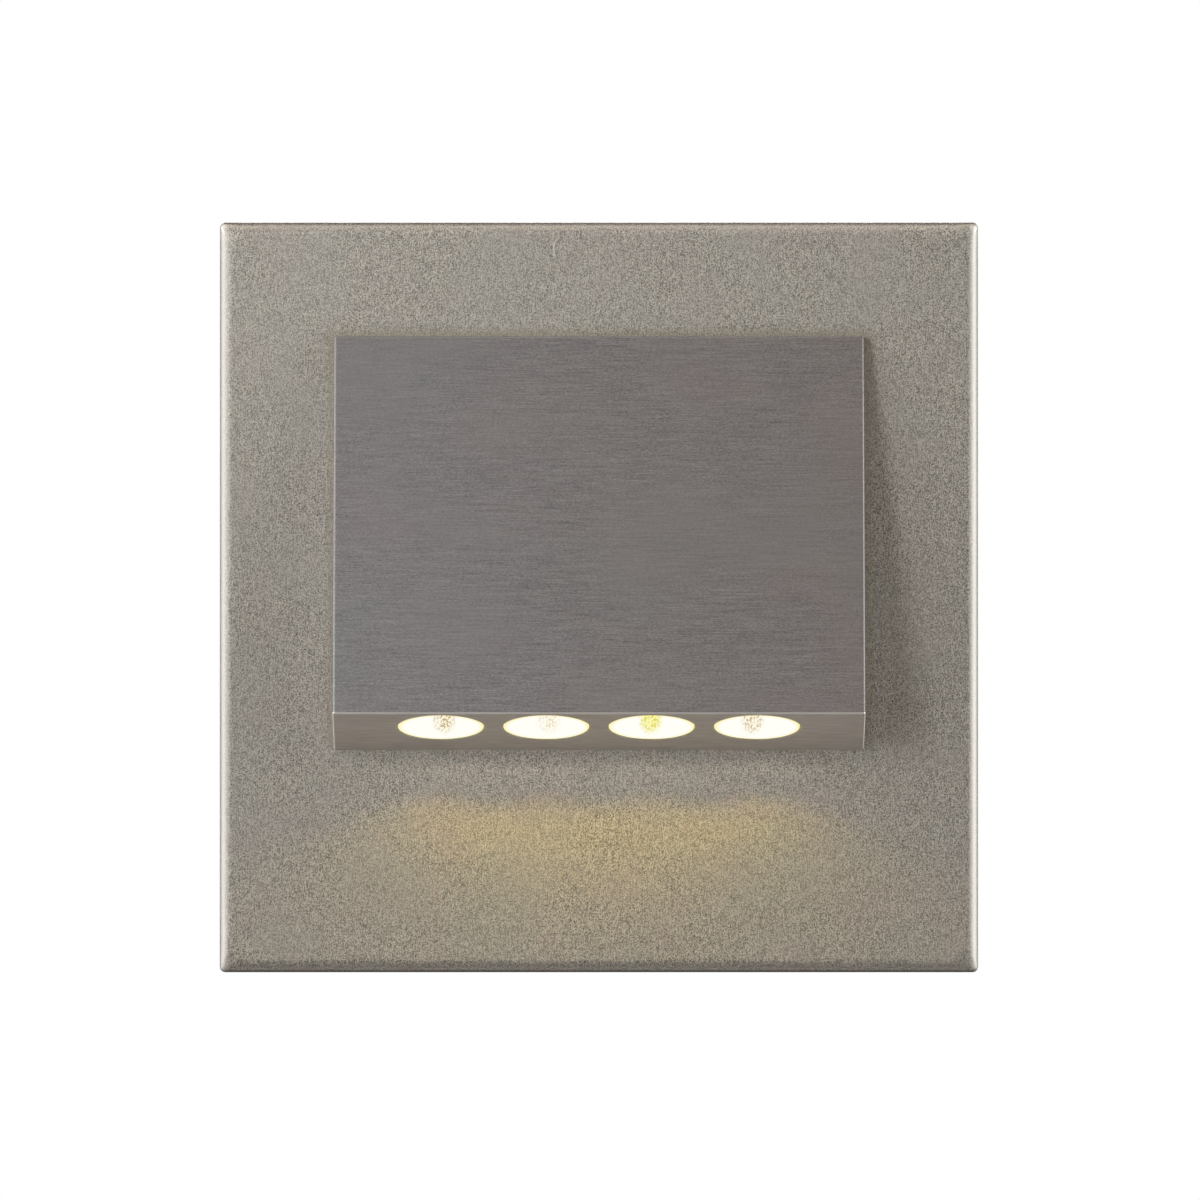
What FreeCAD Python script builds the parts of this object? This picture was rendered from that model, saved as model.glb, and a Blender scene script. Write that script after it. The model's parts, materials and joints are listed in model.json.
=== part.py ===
"""Recessed outdoor step light: a square stainless steel face with a wedge-shaped hood.

Four small lamps look down out of the hood's underside and graze the face below them.
Behind the face a round housing goes into a hole in the wall or stair riser, and two
sprung wing clips fold out behind the panel to hold the light in place.

Frame: millimetres, +Z up, +X to the right seen from the front, +Y into the wall.
The plane y = 0 is the wall, and the origin is where the housing's axis crosses it.
Each sub-part is written to parts/NODE.step.
"""

import FreeCAD, Part

import math
import os

from FreeCAD import Placement, Rotation, Vector

X_AXIS = Vector(1, 0, 0)
Y_AXIS = Vector(0, 1, 0)
Z_AXIS = Vector(0, 0, 1)
ORIGIN = Vector(0, 0, 0)

# ---------------------------------------------------------------- face plate
plate_width = 120.0
plate_height = 118.7
plate_depth = 6.5  # front of the face to the wall
plate_sheet = 1.2
plate_edge_radius = 2.0  # outside of the folded edges
plate_corner_radius = 0.9  # ground corners, seen from the front
opening_side_gap = 1.5  # opening behind the hood, past the lamp board's ends
opening_top_gap = 7.0  # opening above the heat bracket's leg
opening_bottom_gap = 1.8  # opening above the inside of the hood's underside
opening_corner_radius = 2.0

# ---------------------------------------------------------------- hood
hood_width = 83.8
hood_top_z = 41.2
hood_front_drop = 59.8  # height of the sloping front face
hood_depth = 19.6  # how far its lower front edge stands off the face
hood_top_depth = 2.5  # how far its upper edge stands off the face
hood_sheet = 0.8
hood_edge_radius = 0.4

# ---------------------------------------------------------------- lamps
lamp_count = 4
lamp_pitch = 16.6
lamp_hole_radius = 6.95
lamp_gap = 0.1  # lamps, seal and window to the inside of the hood's front
seal_thickness = 0.5
seal_hole_margin = 0.2
seal_back_margin = 1.6  # seal and window, past the holes, towards the wall
seal_end_margin = 3.3  # seal and window, past the end holes
window_thickness = 1.2
lens_gap = 0.2  # round each lens, in its hole in the hood
lens_sink = 0.1  # lens inside the hood's outer surface
reflector_rim_margin = 0.35  # outside of a reflector, past its hole
reflector_rim = 0.4
reflector_throat_gap = 0.2  # round the corners of an emitter
reflector_depth = 4.6
emitter_side = 3.5
emitter_height = 0.8
dome_radius = 1.25
board_end_margin = 6.1  # board past the end lamps' centres
board_width = 18.0
board_thickness = 1.6
board_front_gap = 0.6  # board's front edge to the inside of the hood's front
board_hole_clearance = 0.1
thermal_pad_thickness = 0.5
thermal_pad_margin = 1.0
thermal_pad_hole_clearance = 0.2
board_screw_edge = 2.6  # screw centre to the board's rear edge

# ---------------------------------------------------------------- heat bracket
bracket_thickness = 2.0
bracket_side_margin = 1.0  # board past the bracket's sides
bracket_stud_rise = 14.5  # stud above the bend
bracket_top_margin = 6.0
bracket_stud_inset = 8.0  # stud to the bracket's side

# ---------------------------------------------------------------- fasteners
m3_radius = 1.5
m3_clearance_radius = 1.7
m3_nut_across_flats = 5.5
m3_nut_height = 1.8  # thin nut
m3_washer_radius = 3.5
m3_washer_thickness = 0.5
stud_tip_show = 0.15  # stud past its nut
m25_radius = 1.25
m25_head_radius = 2.25
m25_head_height = 1.5
thread_clearance = 0.05

# ---------------------------------------------------------------- housing
housing_inset = 7.5  # housing inside the collar, which leaves room for the folded clips
housing_wall = 2.5
housing_back_y = 38.0
housing_back_wall = 2.5
housing_back_edge_radius = 2.0
fillet_share = 0.9  # most of a wall that a rounded edge takes
flange_gap = 4.25  # flange to the foam ring inside the face's folded edge
flange_corner_radius = 4.0
flange_thickness = 2.0
flange_stud_inset = 5.0
collar_inset = 0.5  # collar inside the flange's edge; it centres the light in the wall's hole
collar_wall = 2.5
collar_end_y = 4.0
housing_gasket_thickness = 0.8
housing_gasket_margin = 3.0  # gasket outside the housing's bore
housing_gasket_width = 3.0
wall_gasket_width = 5.0
wall_gasket_clearance = 0.1

# ---------------------------------------------------------------- driver
driver_length = 44.0
driver_height = 30.0
driver_centre_z = 8.0
driver_thickness = 1.6
standoff_radius = 2.5
standoff_height = 9.9
standoff_inset = 4.0
driver_screw_length = 6.0
inductor_side = 13.0
inductor_height = 9.0
inductor_core_radius = 2.4
inductor_flange_thickness = 1.4
inductor_winding_inset = 0.6
inductor_x = -9.0
inductor_z = 9.5
capacitor_radius = 4.0
capacitor_height = 10.5
capacitor_rim_radius = 0.5
capacitor_x = 8.0
capacitor_spacing = 9.5
capacitor_z = 9.0
chip_length = 6.0
chip_width = 5.0
chip_height = 1.8
chip_x = 1.5
chip_z = 1.5
terminal_length = 11.0
terminal_width = 8.0
terminal_height = 9.0
terminal_x = -9.6
terminal_z = -2.6
terminal_pitch = 5.0
terminal_screw_radius = 1.6
terminal_screw_depth = 3.0
terminal_screw_sink = 0.6
terminal_wire_radius = 1.3
terminal_wire_depth = 4.0
terminal_wire_height = 3.0  # wire holes above the driver board
connector_length = 8.0
connector_width = 5.0
connector_height = 6.5
connector_x = 10.5
connector_z = -4.5
lead_radius = 0.7
lead_pitch = 3.2
lead_first_run = 5.5
lead_second_run = 6.0
lead_last_run = 4.5
lead_rise = 0.25  # climb of the second run for its length
lead_dip = 5.5  # lowest point before the connector, below it

# ---------------------------------------------------------------- cable gland
gland_z = -20.0
gland_thread_radius = 8.0
gland_hole_clearance = 0.15
gland_inside_length = 7.0
gland_bore_radius = 4.6
gland_across_flats = 20.0
gland_hex_thickness = 5.0
gland_ring_thickness = 1.2
gland_ring_radius = 9.8
gland_nut_across_flats = 21.0
gland_nut_thickness = 4.0
gland_stub_radius = 7.4
gland_stub_length = 7.0
gland_seal_radius = 5.6
gland_seal_depth = 8.0
gland_seal_show = 0.6
gland_cap_across_flats = 19.0
gland_cap_corner_radius = 10.45  # turned corners of the hexagon
gland_thread_clearance = 0.1
gland_cap_gap = 0.8
gland_cap_wall = 3.0
gland_cap_mouth_radius = 4.5
cable_radius = 3.3

# ---------------------------------------------------------------- wing clips
clip_seat_rise = 1.0  # flat pad on the housing's side, past its round wall
clip_seat_start_y = 6.0
clip_seat_end_y = 22.0
clip_seat_half_width = 7.5
clip_base_thickness = 1.0
clip_base_margin = 0.5
clip_ear_thickness = 1.0
clip_ear_reach = 2.2  # ear past the pin's centre
clip_ear_inside_half = 5.5
clip_coil_gap = 0.4  # spring's coil and arm's knuckles to the clip's base
clip_pin_radius = 1.0
clip_pin_clearance = 0.05
clip_ear_clearance = 0.025
clip_pin_head_radius = 1.7
clip_pin_head_thickness = 0.6
clip_side_gap = 0.3
clip_screw_radius = 1.2
clip_screw_head_radius = 1.9
clip_screw_head_height = 0.8
clip_screw_depth = 3.0
clip_screw_inset = 3.0
arm_lean = 25.0  # degrees from sideways towards the face, at rest
arm_length = 13.4
arm_sheet = 0.9
arm_spring_gap = 0.3  # spring's leg to the blade
arm_coil_gap = 1.0  # coil to the blade's near end
arm_hook = 2.0  # how far the tip bends towards the face
arm_sleeve_wall = 0.6
arm_sleeve_reach = 4.0
spring_wire_radius = 0.4
spring_coil_radius = 2.0
spring_pitch = 1.3
spring_whole_turns = 4
spring_knot_spacing = 0.25  # turns from one knot of the coil to the next
spring_base_leg = 6.0
spring_arm_leg = 6.5

# ---------------------------------------------------------------- places on the hood's underside
plate_front_y = -plate_depth
plate_back_y = plate_front_y + plate_sheet
inner_bend_radius = plate_edge_radius - plate_sheet
hood_lip_y = plate_front_y - hood_depth
hood_lip_z = hood_top_z - hood_front_drop
slope = math.atan2(hood_depth - hood_top_depth, hood_front_drop)


def underside_point(back, height):
    """(y, z) of a point some way back from the hood's lip and above its underside."""
    y = hood_lip_y + back * math.cos(slope) + height * math.sin(slope)
    z = hood_lip_z - back * math.sin(slope) + height * math.cos(slope)
    return y, z


def underside_reach(y, height):
    """How far back from the lip a line at this height above the underside meets the plane y."""
    return (y - underside_point(0.0, height)[0]) / math.cos(slope)


# Heights above the outside of the hood's underside, square to it.
seal_base = hood_sheet
glass_base = seal_base + seal_thickness
reflector_base = glass_base + window_thickness
board_base = reflector_base + reflector_depth
pad_base = board_base + board_thickness
bracket_base = pad_base + thermal_pad_thickness
bracket_top = bracket_base + bracket_thickness

# Distances back from the lip, along the underside, and along its length.
inside_front = hood_sheet + lamp_gap
hole_line = hood_sheet + lamp_hole_radius
lamp_line = hole_line + lamp_gap
board_front = hood_sheet + board_front_gap
board_back = board_front + board_width
lamp_places = [(i - (lamp_count - 1) / 2) * lamp_pitch for i in range(lamp_count)]
board_length = 2 * (max(lamp_places) + board_end_margin)
bracket_width = board_length - 2 * bracket_side_margin
bracket_stud_places = [side * (bracket_width / 2 - bracket_stud_inset) for side in (-1, 1)]

# The face's opening and the bracket's upright leg.
bend_reach = underside_reach(plate_back_y, bracket_top)
bend_z = underside_point(bend_reach, bracket_top)[1]
leg_back_y = plate_back_y + bracket_thickness
bracket_stud_z = bend_z + bracket_stud_rise
bracket_top_z = bracket_stud_z + bracket_top_margin
opening_half_width = board_length / 2 + opening_side_gap
opening_top_z = bend_z + opening_top_gap
floor_reach = underside_reach(plate_front_y, hood_sheet)
opening_bottom_z = underside_point(floor_reach, hood_sheet)[1] + opening_bottom_gap

# ---------------------------------------------------------------- places behind the face
gasket_edge = plate_sheet + inner_bend_radius + wall_gasket_clearance
flange_half_side = min(plate_width, plate_height) / 2 - gasket_edge - wall_gasket_width - flange_gap
flange_stud_reach = flange_half_side - flange_stud_inset
flange_front_y = plate_back_y + housing_gasket_thickness
flange_back_y = flange_front_y + flange_thickness
collar_radius = flange_half_side - collar_inset
housing_radius = collar_radius - housing_inset
housing_bore_radius = housing_radius - housing_wall
housing_floor_y = housing_back_y - housing_back_wall
driver_back_y = housing_floor_y - standoff_height
driver_front_y = driver_back_y - driver_thickness

gland_hex_start_y = housing_back_y + gland_ring_thickness
gland_hex_end_y = gland_hex_start_y + gland_hex_thickness
gland_stub_end_y = gland_hex_end_y + gland_stub_length
gland_seal_end_y = gland_stub_end_y + gland_seal_show
gland_seal_start_y = gland_seal_end_y - gland_seal_depth
gland_cap_start_y = gland_hex_end_y + gland_cap_gap

spring_outer_radius = spring_coil_radius + spring_wire_radius
spring_turns = spring_whole_turns + 0.25 + arm_lean / 360  # ends along the arm
clip_seat_face_x = housing_radius + clip_seat_rise
clip_base_outer_x = clip_seat_face_x + clip_base_thickness
clip_pin_x = clip_base_outer_x + clip_coil_gap + spring_outer_radius
clip_pin_y = (clip_seat_start_y + clip_seat_end_y) / 2
clip_ear_outside_half = clip_ear_inside_half + clip_ear_thickness
arm_half_width = clip_ear_inside_half - clip_side_gap
arm_offset = spring_coil_radius - spring_wire_radius - arm_spring_gap - arm_sheet
arm_blade_start = spring_outer_radius + arm_coil_gap


# ---------------------------------------------------------------- helpers
def block(x0, x1, y0, y1, z0, z1):
    """A box between two corners."""
    return Part.makeBox(x1 - x0, y1 - y0, z1 - z0, Vector(x0, y0, z0))


def rod_y(radius, x, z, y0, y1):
    """A cylinder along Y."""
    return Part.makeCylinder(radius, y1 - y0, Vector(x, y0, z), Y_AXIS)


def rod_z(radius, x, y, z0, z1):
    """A cylinder along Z."""
    return Part.makeCylinder(radius, z1 - z0, Vector(x, y, z0), Z_AXIS)


def tube_y(outer, inner, x, z, y0, y1):
    """A ring along Y."""
    return rod_y(outer, x, z, y0, y1).cut(rod_y(inner, x, z, y0, y1))


def hexagon_y(across_flats, x, z, y0, y1):
    """A hexagonal prism along Y."""
    reach = across_flats / math.sqrt(3)
    corners = [
        Vector(x + reach * math.cos(math.radians(60 * i)), y0, z + reach * math.sin(math.radians(60 * i)))
        for i in range(7)
    ]
    return Part.Face(Part.makePolygon(corners)).extrude(Vector(0, y1 - y0, 0))


def prism_x(outline, x0, x1):
    """A solid swept along X from an outline of (y, z) points."""
    corners = [Vector(x0, y, z) for y, z in outline]
    return Part.Face(Part.makePolygon(corners + corners[:1])).extrude(Vector(x1 - x0, 0, 0))


def rounded_plan(half_x, half_z, radius, y0, y1, centre_z=0.0):
    """A plate seen from the front: a rectangle with round corners, from y0 to y1."""
    body = block(-half_x, half_x, y0, y1, centre_z - half_z, centre_z + half_z)
    corners = [e for e in body.Edges if abs(e.tangentAt(e.FirstParameter).y) > 0.999]
    return body.makeFillet(radius, corners)


def soft_edged(half_x, half_z, edge_radius, corner_radius, y0, y1):
    """A plate whose front edges are rolled over and whose corners are eased."""
    body = rounded_plan(half_x, half_z, corner_radius, y0, y1)
    overshoot = edge_radius + 1.0
    across = block(-half_x, half_x, y0, y1 + overshoot, -half_z - overshoot, half_z + overshoot)
    upright = block(-half_x - overshoot, half_x + overshoot, y0, y1 + overshoot, -half_z, half_z)
    for bar, lengthwise in ((across, Z_AXIS), (upright, X_AXIS)):
        rolled = [
            e
            for e in bar.Edges
            if abs(e.tangentAt(e.FirstParameter).dot(lengthwise)) > 0.999
            and abs(e.CenterOfMass.y - y0) < 1e-6
        ]
        body = body.common(bar.makeFillet(edge_radius, rolled))
    return body


def on_underside(shape):
    """Moves a piece built on the underside's own axes to its place in the hood.

    Those axes start at the hood's lip: X along it, Y back towards the wall, Z into the hood.
    """
    lip = Placement(Vector(0, hood_lip_y, hood_lip_z), Rotation(X_AXIS, -math.degrees(slope)))
    moved = shape.copy()
    moved.Placement = lip.multiply(moved.Placement)
    return moved


def mirrored(shape):
    """The same piece on the left side."""
    return shape.mirror(ORIGIN, X_AXIS)


def nut_y(x, z, y0):
    """A thin M3 nut whose near face is at y0."""
    y1 = y0 + m3_nut_height
    thread = rod_y(m3_radius + thread_clearance, x, z, y0, y1)
    return hexagon_y(m3_nut_across_flats, x, z, y0, y1).cut(thread)


def arc_between(start, corner, end):
    """The arc that leaves start towards corner and arrives at end, both as far from corner."""
    middle = (start + end) * 0.5
    half_chord = start.distanceToPoint(end) / 2
    rise = corner.distanceToPoint(middle)
    sag = half_chord * math.tan(math.atan2(rise, half_chord) / 2)
    crown = middle + (corner - middle).normalize() * sag
    return Part.Arc(start, crown, end).toShape()


def round_tube(edges, radius, start, heading):
    """A round tube along joined edges, with its length printed for comparison."""
    path = Part.Wire(edges)
    ring = Part.Wire(Part.Circle(start, heading, radius).toShape())
    sweep = Part.BRepOffsetAPI.MakePipeShell(path)
    sweep.add(ring)
    sweep.build()
    sweep.makeSolid()
    tube = sweep.shape()
    ideal = math.pi * radius**2 * path.Length
    print(f"tube length {path.Length:.2f}, volume {tube.Volume:.3f}, section times length {ideal:.3f}")
    return tube


def routed_tube(points, radius):
    """A tube of straight runs joined by the largest tangent arcs that they allow."""
    edges = []
    here = points[0]
    for before, corner, after in zip(points, points[1:], points[2:]):
        back = (before - corner).normalize()
        ahead = (after - corner).normalize()
        turn = math.pi - back.getAngle(ahead)
        setback = 0.45 * min(before.distanceToPoint(corner), after.distanceToPoint(corner))
        start = corner + back * setback
        end = corner + ahead * setback
        edges.append(Part.LineSegment(here, start).toShape())
        edges.append(arc_between(start, corner, end))
        print(f"lead bend radius {setback / math.tan(turn / 2):.1f}")
        here = end
    edges.append(Part.LineSegment(here, points[-1]).toShape())
    return round_tube(edges, radius, points[0], points[1] - points[0])


# ---------------------------------------------------------------- face and hood
def face_plate():
    """Folded tray of sheet steel, open to the wall, with an opening behind the hood."""
    half_x = plate_width / 2
    half_z = plate_height / 2
    tray = soft_edged(half_x, half_z, plate_edge_radius, plate_corner_radius, plate_front_y, 0.0)
    hollow = soft_edged(
        half_x - plate_sheet,
        half_z - plate_sheet,
        inner_bend_radius,
        inner_bend_radius / 2,
        plate_back_y,
        plate_depth,
    )
    opening = rounded_plan(
        opening_half_width,
        (opening_top_z - opening_bottom_z) / 2,
        opening_corner_radius,
        plate_front_y - plate_sheet,
        plate_back_y + plate_sheet,
        (opening_top_z + opening_bottom_z) / 2,
    )
    return tray.cut(hollow).cut(opening)


def weld_studs():
    """M3 studs on the back of the face: four for the housing and two for the heat bracket."""
    studs = []
    flange_tip = flange_back_y + m3_washer_thickness + m3_nut_height + stud_tip_show
    for x, z in flange_stud_places():
        studs.append(rod_y(m3_radius, x, z, plate_back_y, flange_tip))
    bracket_tip = leg_back_y + m3_nut_height + stud_tip_show
    for x in bracket_stud_places:
        studs.append(rod_y(m3_radius, x, bracket_stud_z, plate_back_y, bracket_tip))
    return Part.makeCompound(studs)


def flange_stud_places():
    """(x, z) of the studs that hold the housing's flange."""
    places = (-flange_stud_reach, flange_stud_reach)
    return [(x, z) for x in places for z in places]


def hood_outline(inset):
    """Side outline of the hood, or of its hollow when inset by the sheet."""
    top_z = hood_top_z - inset
    back_y = plate_front_y + inset
    lip_y = hood_lip_y + inset * (math.cos(slope) + math.sin(slope))
    lip_z = hood_lip_z + inset * (math.cos(slope) - math.sin(slope))
    top_y = lip_y + (top_z - lip_z) * math.tan(slope)
    bottom_z = lip_z - (back_y - lip_y) * math.tan(slope)
    return [(back_y, top_z), (top_y, top_z), (lip_y, lip_z), (back_y, bottom_z)]


def hood():
    """Welded wedge of sheet steel, open at the back, with the lamps' holes in its underside."""
    half = hood_width / 2
    body = prism_x(hood_outline(0.0), -half, half)
    outside = [e for e in body.Edges if e.BoundBox.YMin < plate_front_y - 1e-6]
    body = body.makeFillet(hood_edge_radius, outside)
    body = body.cut(prism_x(hood_outline(hood_sheet), -half + hood_sheet, half - hood_sheet))
    for x in lamp_places:
        body = body.cut(on_underside(rod_z(lamp_hole_radius, x, hole_line, -hood_sheet, 2 * hood_sheet)))
    return body


# ---------------------------------------------------------------- lamps
def underside_strip(base, top):
    """A strip that covers the holes from inside, between two heights above the underside."""
    half = max(lamp_places) + lamp_hole_radius + seal_end_margin
    back = hole_line + lamp_hole_radius + seal_back_margin
    return block(-half, half, inside_front, back, base, top)


def aperture_seal():
    """Rubber strip between the hood and the clear window."""
    strip = underside_strip(seal_base, glass_base)
    radius = lamp_hole_radius + seal_hole_margin
    line = inside_front + lamp_gap + radius
    for x in lamp_places:
        strip = strip.cut(rod_z(radius, x, line, seal_base, glass_base))
    return on_underside(strip)


def aperture_window():
    """Clear strip over all the holes, with a round lens that stands in each."""
    window = underside_strip(glass_base, reflector_base)
    for x in lamp_places:
        lens = rod_z(lamp_hole_radius - lens_gap, x, hole_line, lens_sink, glass_base)
        window = window.fuse(lens)
    return on_underside(window.removeSplitter())


def reflector(x):
    """A cup that opens towards the window and has the emitter in its throat."""
    outer = lamp_hole_radius + reflector_rim_margin
    mouth = outer - reflector_rim
    throat = emitter_side / math.sqrt(2) + reflector_throat_gap
    foot = Vector(x, lamp_line, reflector_base)
    head = Vector(x, lamp_line, board_base)
    bowl_steps = 5
    curve = []
    for i in range(bowl_steps + 1):
        share = i / bowl_steps
        radius = throat + (mouth - throat) * math.sqrt(1 - share)
        curve.append(Vector(x + radius, lamp_line, reflector_base + share * reflector_depth))
    bowl_curve = Part.BSplineCurve()
    bowl_curve.interpolate(curve)
    outline = Part.Wire(
        [
            Part.LineSegment(foot, curve[0]).toShape(),
            bowl_curve.toShape(),
            Part.LineSegment(curve[-1], head).toShape(),
            Part.LineSegment(head, foot).toShape(),
        ]
    )
    bowl = Part.Face(outline).revolve(foot, Z_AXIS, 360)
    cup = rod_z(outer, x, lamp_line, reflector_base, board_base).cut(bowl)
    hood_side = block(x - outer, x + outer, lamp_line - outer, inside_front, reflector_base, board_base)
    return on_underside(cup.cut(hood_side))


def emitter(x):
    """A square package with a clear dome, on the face of the board."""
    half = emitter_side / 2
    base = board_base - emitter_height
    package = block(x - half, x + half, lamp_line - half, lamp_line + half, base, board_base)
    dome = Part.makeSphere(dome_radius, Vector(x, lamp_line, base), Z_AXIS, -90, 0)
    return on_underside(package.fuse(dome).removeSplitter())


def board_screw_places():
    """(x, y) of the board's screws on the underside's axes, between the end lamps and the next."""
    reach = max(lamp_places) - lamp_pitch / 2
    return [(side * reach, board_back - board_screw_edge) for side in (-1, 1)]


def with_screw_holes(sheet, radius, base, top):
    """A flat piece in the lamps' stack with a round hole for each board screw."""
    for x, y in board_screw_places():
        sheet = sheet.cut(rod_z(radius, x, y, base, top))
    return sheet


def led_board():
    """Metal-cored board that carries the emitters."""
    half = board_length / 2
    board = block(-half, half, board_front, board_back, board_base, pad_base)
    return on_underside(with_screw_holes(board, m25_radius + board_hole_clearance, board_base, pad_base))


def thermal_pad():
    """Soft pad between the board and the bracket."""
    half = board_length / 2 - thermal_pad_margin
    front = board_front + thermal_pad_margin
    back = board_back - thermal_pad_margin
    pad = block(-half, half, front, back, pad_base, bracket_base)
    radius = m25_radius + thermal_pad_hole_clearance
    return on_underside(with_screw_holes(pad, radius, pad_base, bracket_base))


def heat_bracket():
    """Bent sheet: one leg on the back of the lamp board, the other flat on the back of the face."""
    near_reach = underside_reach(leg_back_y, bracket_base)
    outline = [
        underside_point(board_front, bracket_base),
        underside_point(near_reach, bracket_base),
        (leg_back_y, bracket_top_z),
        (plate_back_y, bracket_top_z),
        underside_point(bend_reach, bracket_top),
        underside_point(board_front, bracket_top),
    ]
    bracket = prism_x(outline, -bracket_width / 2, bracket_width / 2)
    for x in bracket_stud_places:
        bracket = bracket.cut(rod_y(m3_clearance_radius, x, bracket_stud_z, plate_back_y, leg_back_y))
    for x, y in board_screw_places():
        tapped = rod_z(m25_radius + thread_clearance, x, y, bracket_base, bracket_top)
        bracket = bracket.cut(on_underside(tapped))
    return bracket


def led_board_screws():
    """Pan-head screws through the board into the bracket."""
    screws = []
    for x, y in board_screw_places():
        head = rod_z(m25_head_radius, x, y, board_base - m25_head_height, board_base)
        shank = rod_z(m25_radius, x, y, board_base, bracket_top)
        screws.append(on_underside(head.fuse(shank)))
    return Part.makeCompound(screws)


def bracket_nuts():
    """Nuts that hold the heat bracket on its studs."""
    return Part.makeCompound([nut_y(x, bracket_stud_z, leg_back_y) for x in bracket_stud_places])


# ---------------------------------------------------------------- housing
def housing_flange():
    """Square flange with a centring collar, brazed round the front of the housing."""
    flange = rounded_plan(
        flange_half_side, flange_half_side, flange_corner_radius, flange_front_y, flange_back_y
    )
    collar = tube_y(collar_radius, collar_radius - collar_wall, 0, 0, flange_back_y, collar_end_y)
    ring = flange.fuse(collar).cut(rod_y(housing_radius, 0, 0, flange_front_y - 1, flange_back_y + 1))
    for x, z in flange_stud_places():
        ring = ring.cut(rod_y(m3_clearance_radius, x, z, flange_front_y - 1, flange_back_y + 1))
    return ring.removeSplitter()


def housing():
    """Round tube with two flat seats for the wing clips."""
    seat_half = clip_seat_half_width
    seats = block(
        -clip_seat_face_x, clip_seat_face_x, clip_seat_start_y, clip_seat_end_y, -seat_half, seat_half
    )
    tube = rod_y(housing_radius, 0, 0, flange_front_y, housing_floor_y).fuse(seats)
    tube = tube.cut(rod_y(housing_bore_radius, 0, 0, flange_front_y - 1, housing_floor_y + 1))
    for side in (-1, 1):
        for y in clip_screw_places():
            tube = tube.cut(clip_screw_hole(side, y))
    return tube.removeSplitter()


def housing_back():
    """Disc brazed on the rear end of the housing, with a hole for the gland."""
    disc = rod_y(housing_radius, 0, 0, housing_floor_y, housing_back_y)
    rear_edge = [e for e in disc.Edges if e.BoundBox.YMin > housing_back_y - 1e-6]
    disc = disc.makeFillet(min(housing_back_edge_radius, fillet_share * housing_back_wall), rear_edge)
    gland_hole = gland_thread_radius + gland_hole_clearance
    return disc.cut(rod_y(gland_hole, 0, gland_z, housing_floor_y - 1, housing_back_y + 1))


def housing_gasket():
    """Flat ring between the face and the housing's flange."""
    inner = housing_bore_radius + housing_gasket_margin
    return tube_y(inner + housing_gasket_width, inner, 0, 0, plate_back_y, flange_front_y)


def flange_washers():
    """Washers under the flange nuts."""
    y1 = flange_back_y + m3_washer_thickness
    washers = []
    for x, z in flange_stud_places():
        washers.append(tube_y(m3_washer_radius, m3_clearance_radius, x, z, flange_back_y, y1))
    return Part.makeCompound(washers)


def flange_nuts():
    """Nuts that hold the housing's flange."""
    y0 = flange_back_y + m3_washer_thickness
    return Part.makeCompound([nut_y(x, z, y0) for x, z in flange_stud_places()])


def wall_gasket():
    """Square foam ring inside the folded edge, squeezed against the wall."""
    half_x = plate_width / 2 - gasket_edge
    half_z = plate_height / 2 - gasket_edge
    outer = block(-half_x, half_x, plate_back_y, 0, -half_z, half_z)
    inner_x = half_x - wall_gasket_width
    inner_z = half_z - wall_gasket_width
    return outer.cut(block(-inner_x, inner_x, plate_back_y, 0, -inner_z, inner_z))


# ---------------------------------------------------------------- driver
def standoff_places():
    """(x, z) of the driver board's pillars."""
    half_x = driver_length / 2 - standoff_inset
    half_z = driver_height / 2 - standoff_inset
    return [(sx * half_x, driver_centre_z + sz * half_z) for sx in (-1, 1) for sz in (-1, 1)]


def driver_board():
    """Circuit board parallel to the housing's floor."""
    half_x = driver_length / 2
    half_z = driver_height / 2
    board = block(
        -half_x, half_x, driver_front_y, driver_back_y, driver_centre_z - half_z, driver_centre_z + half_z
    )
    for x, z in standoff_places():
        board = board.cut(rod_y(m25_radius + board_hole_clearance, x, z, driver_front_y, driver_back_y))
    return board


def board_standoffs():
    """Tapped pillars between the housing's floor and the driver board."""
    tapped = m25_radius + thread_clearance
    pillars = []
    for x, z in standoff_places():
        pillars.append(tube_y(standoff_radius, tapped, x, z, driver_back_y, housing_floor_y))
    return Part.makeCompound(pillars)


def driver_screws():
    """Pan-head screws through the driver board into its pillars."""
    screws = []
    for x, z in standoff_places():
        head = rod_y(m25_head_radius, x, z, driver_front_y - m25_head_height, driver_front_y)
        shank = rod_y(m25_radius, x, z, driver_front_y, driver_front_y + driver_screw_length)
        screws.append(head.fuse(shank))
    return Part.makeCompound(screws)


def on_driver(length, width, height, x, z):
    """A block on the front of the driver board."""
    x0 = x - length / 2
    z0 = z - width / 2
    return block(x0, x0 + length, driver_front_y - height, driver_front_y, z0, z0 + width)


def driver_inductor():
    """Drum core with square ends, standing on the board."""
    foot = on_driver(inductor_side, inductor_side, inductor_flange_thickness, inductor_x, inductor_z)
    cap_y = driver_front_y - inductor_height
    cap = foot.copy()
    cap.translate(Vector(0, inductor_flange_thickness - inductor_height, 0))
    winding_radius = inductor_side / 2 - inductor_winding_inset
    winding = rod_y(winding_radius, inductor_x, inductor_z, cap_y, driver_front_y)
    mark_y = cap_y + inductor_flange_thickness / 2
    core_mark = rod_y(inductor_core_radius, inductor_x, inductor_z, cap_y, mark_y)
    return foot.fuse([cap, winding]).cut(core_mark).removeSplitter()


def driver_capacitors():
    """Two upright electrolytic capacitors."""
    cans = []
    for step in (0, 1):
        x = capacitor_x + step * capacitor_spacing
        can = rod_y(capacitor_radius, x, capacitor_z, driver_front_y - capacitor_height, driver_front_y)
        rim = [e for e in can.Edges if e.BoundBox.YMax < driver_front_y - capacitor_height + 1e-6]
        cans.append(can.makeFillet(capacitor_rim_radius, rim))
    return Part.makeCompound(cans)


def driver_chip():
    """The switching regulator."""
    return on_driver(chip_length, chip_width, chip_height, chip_x, chip_z)


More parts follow.
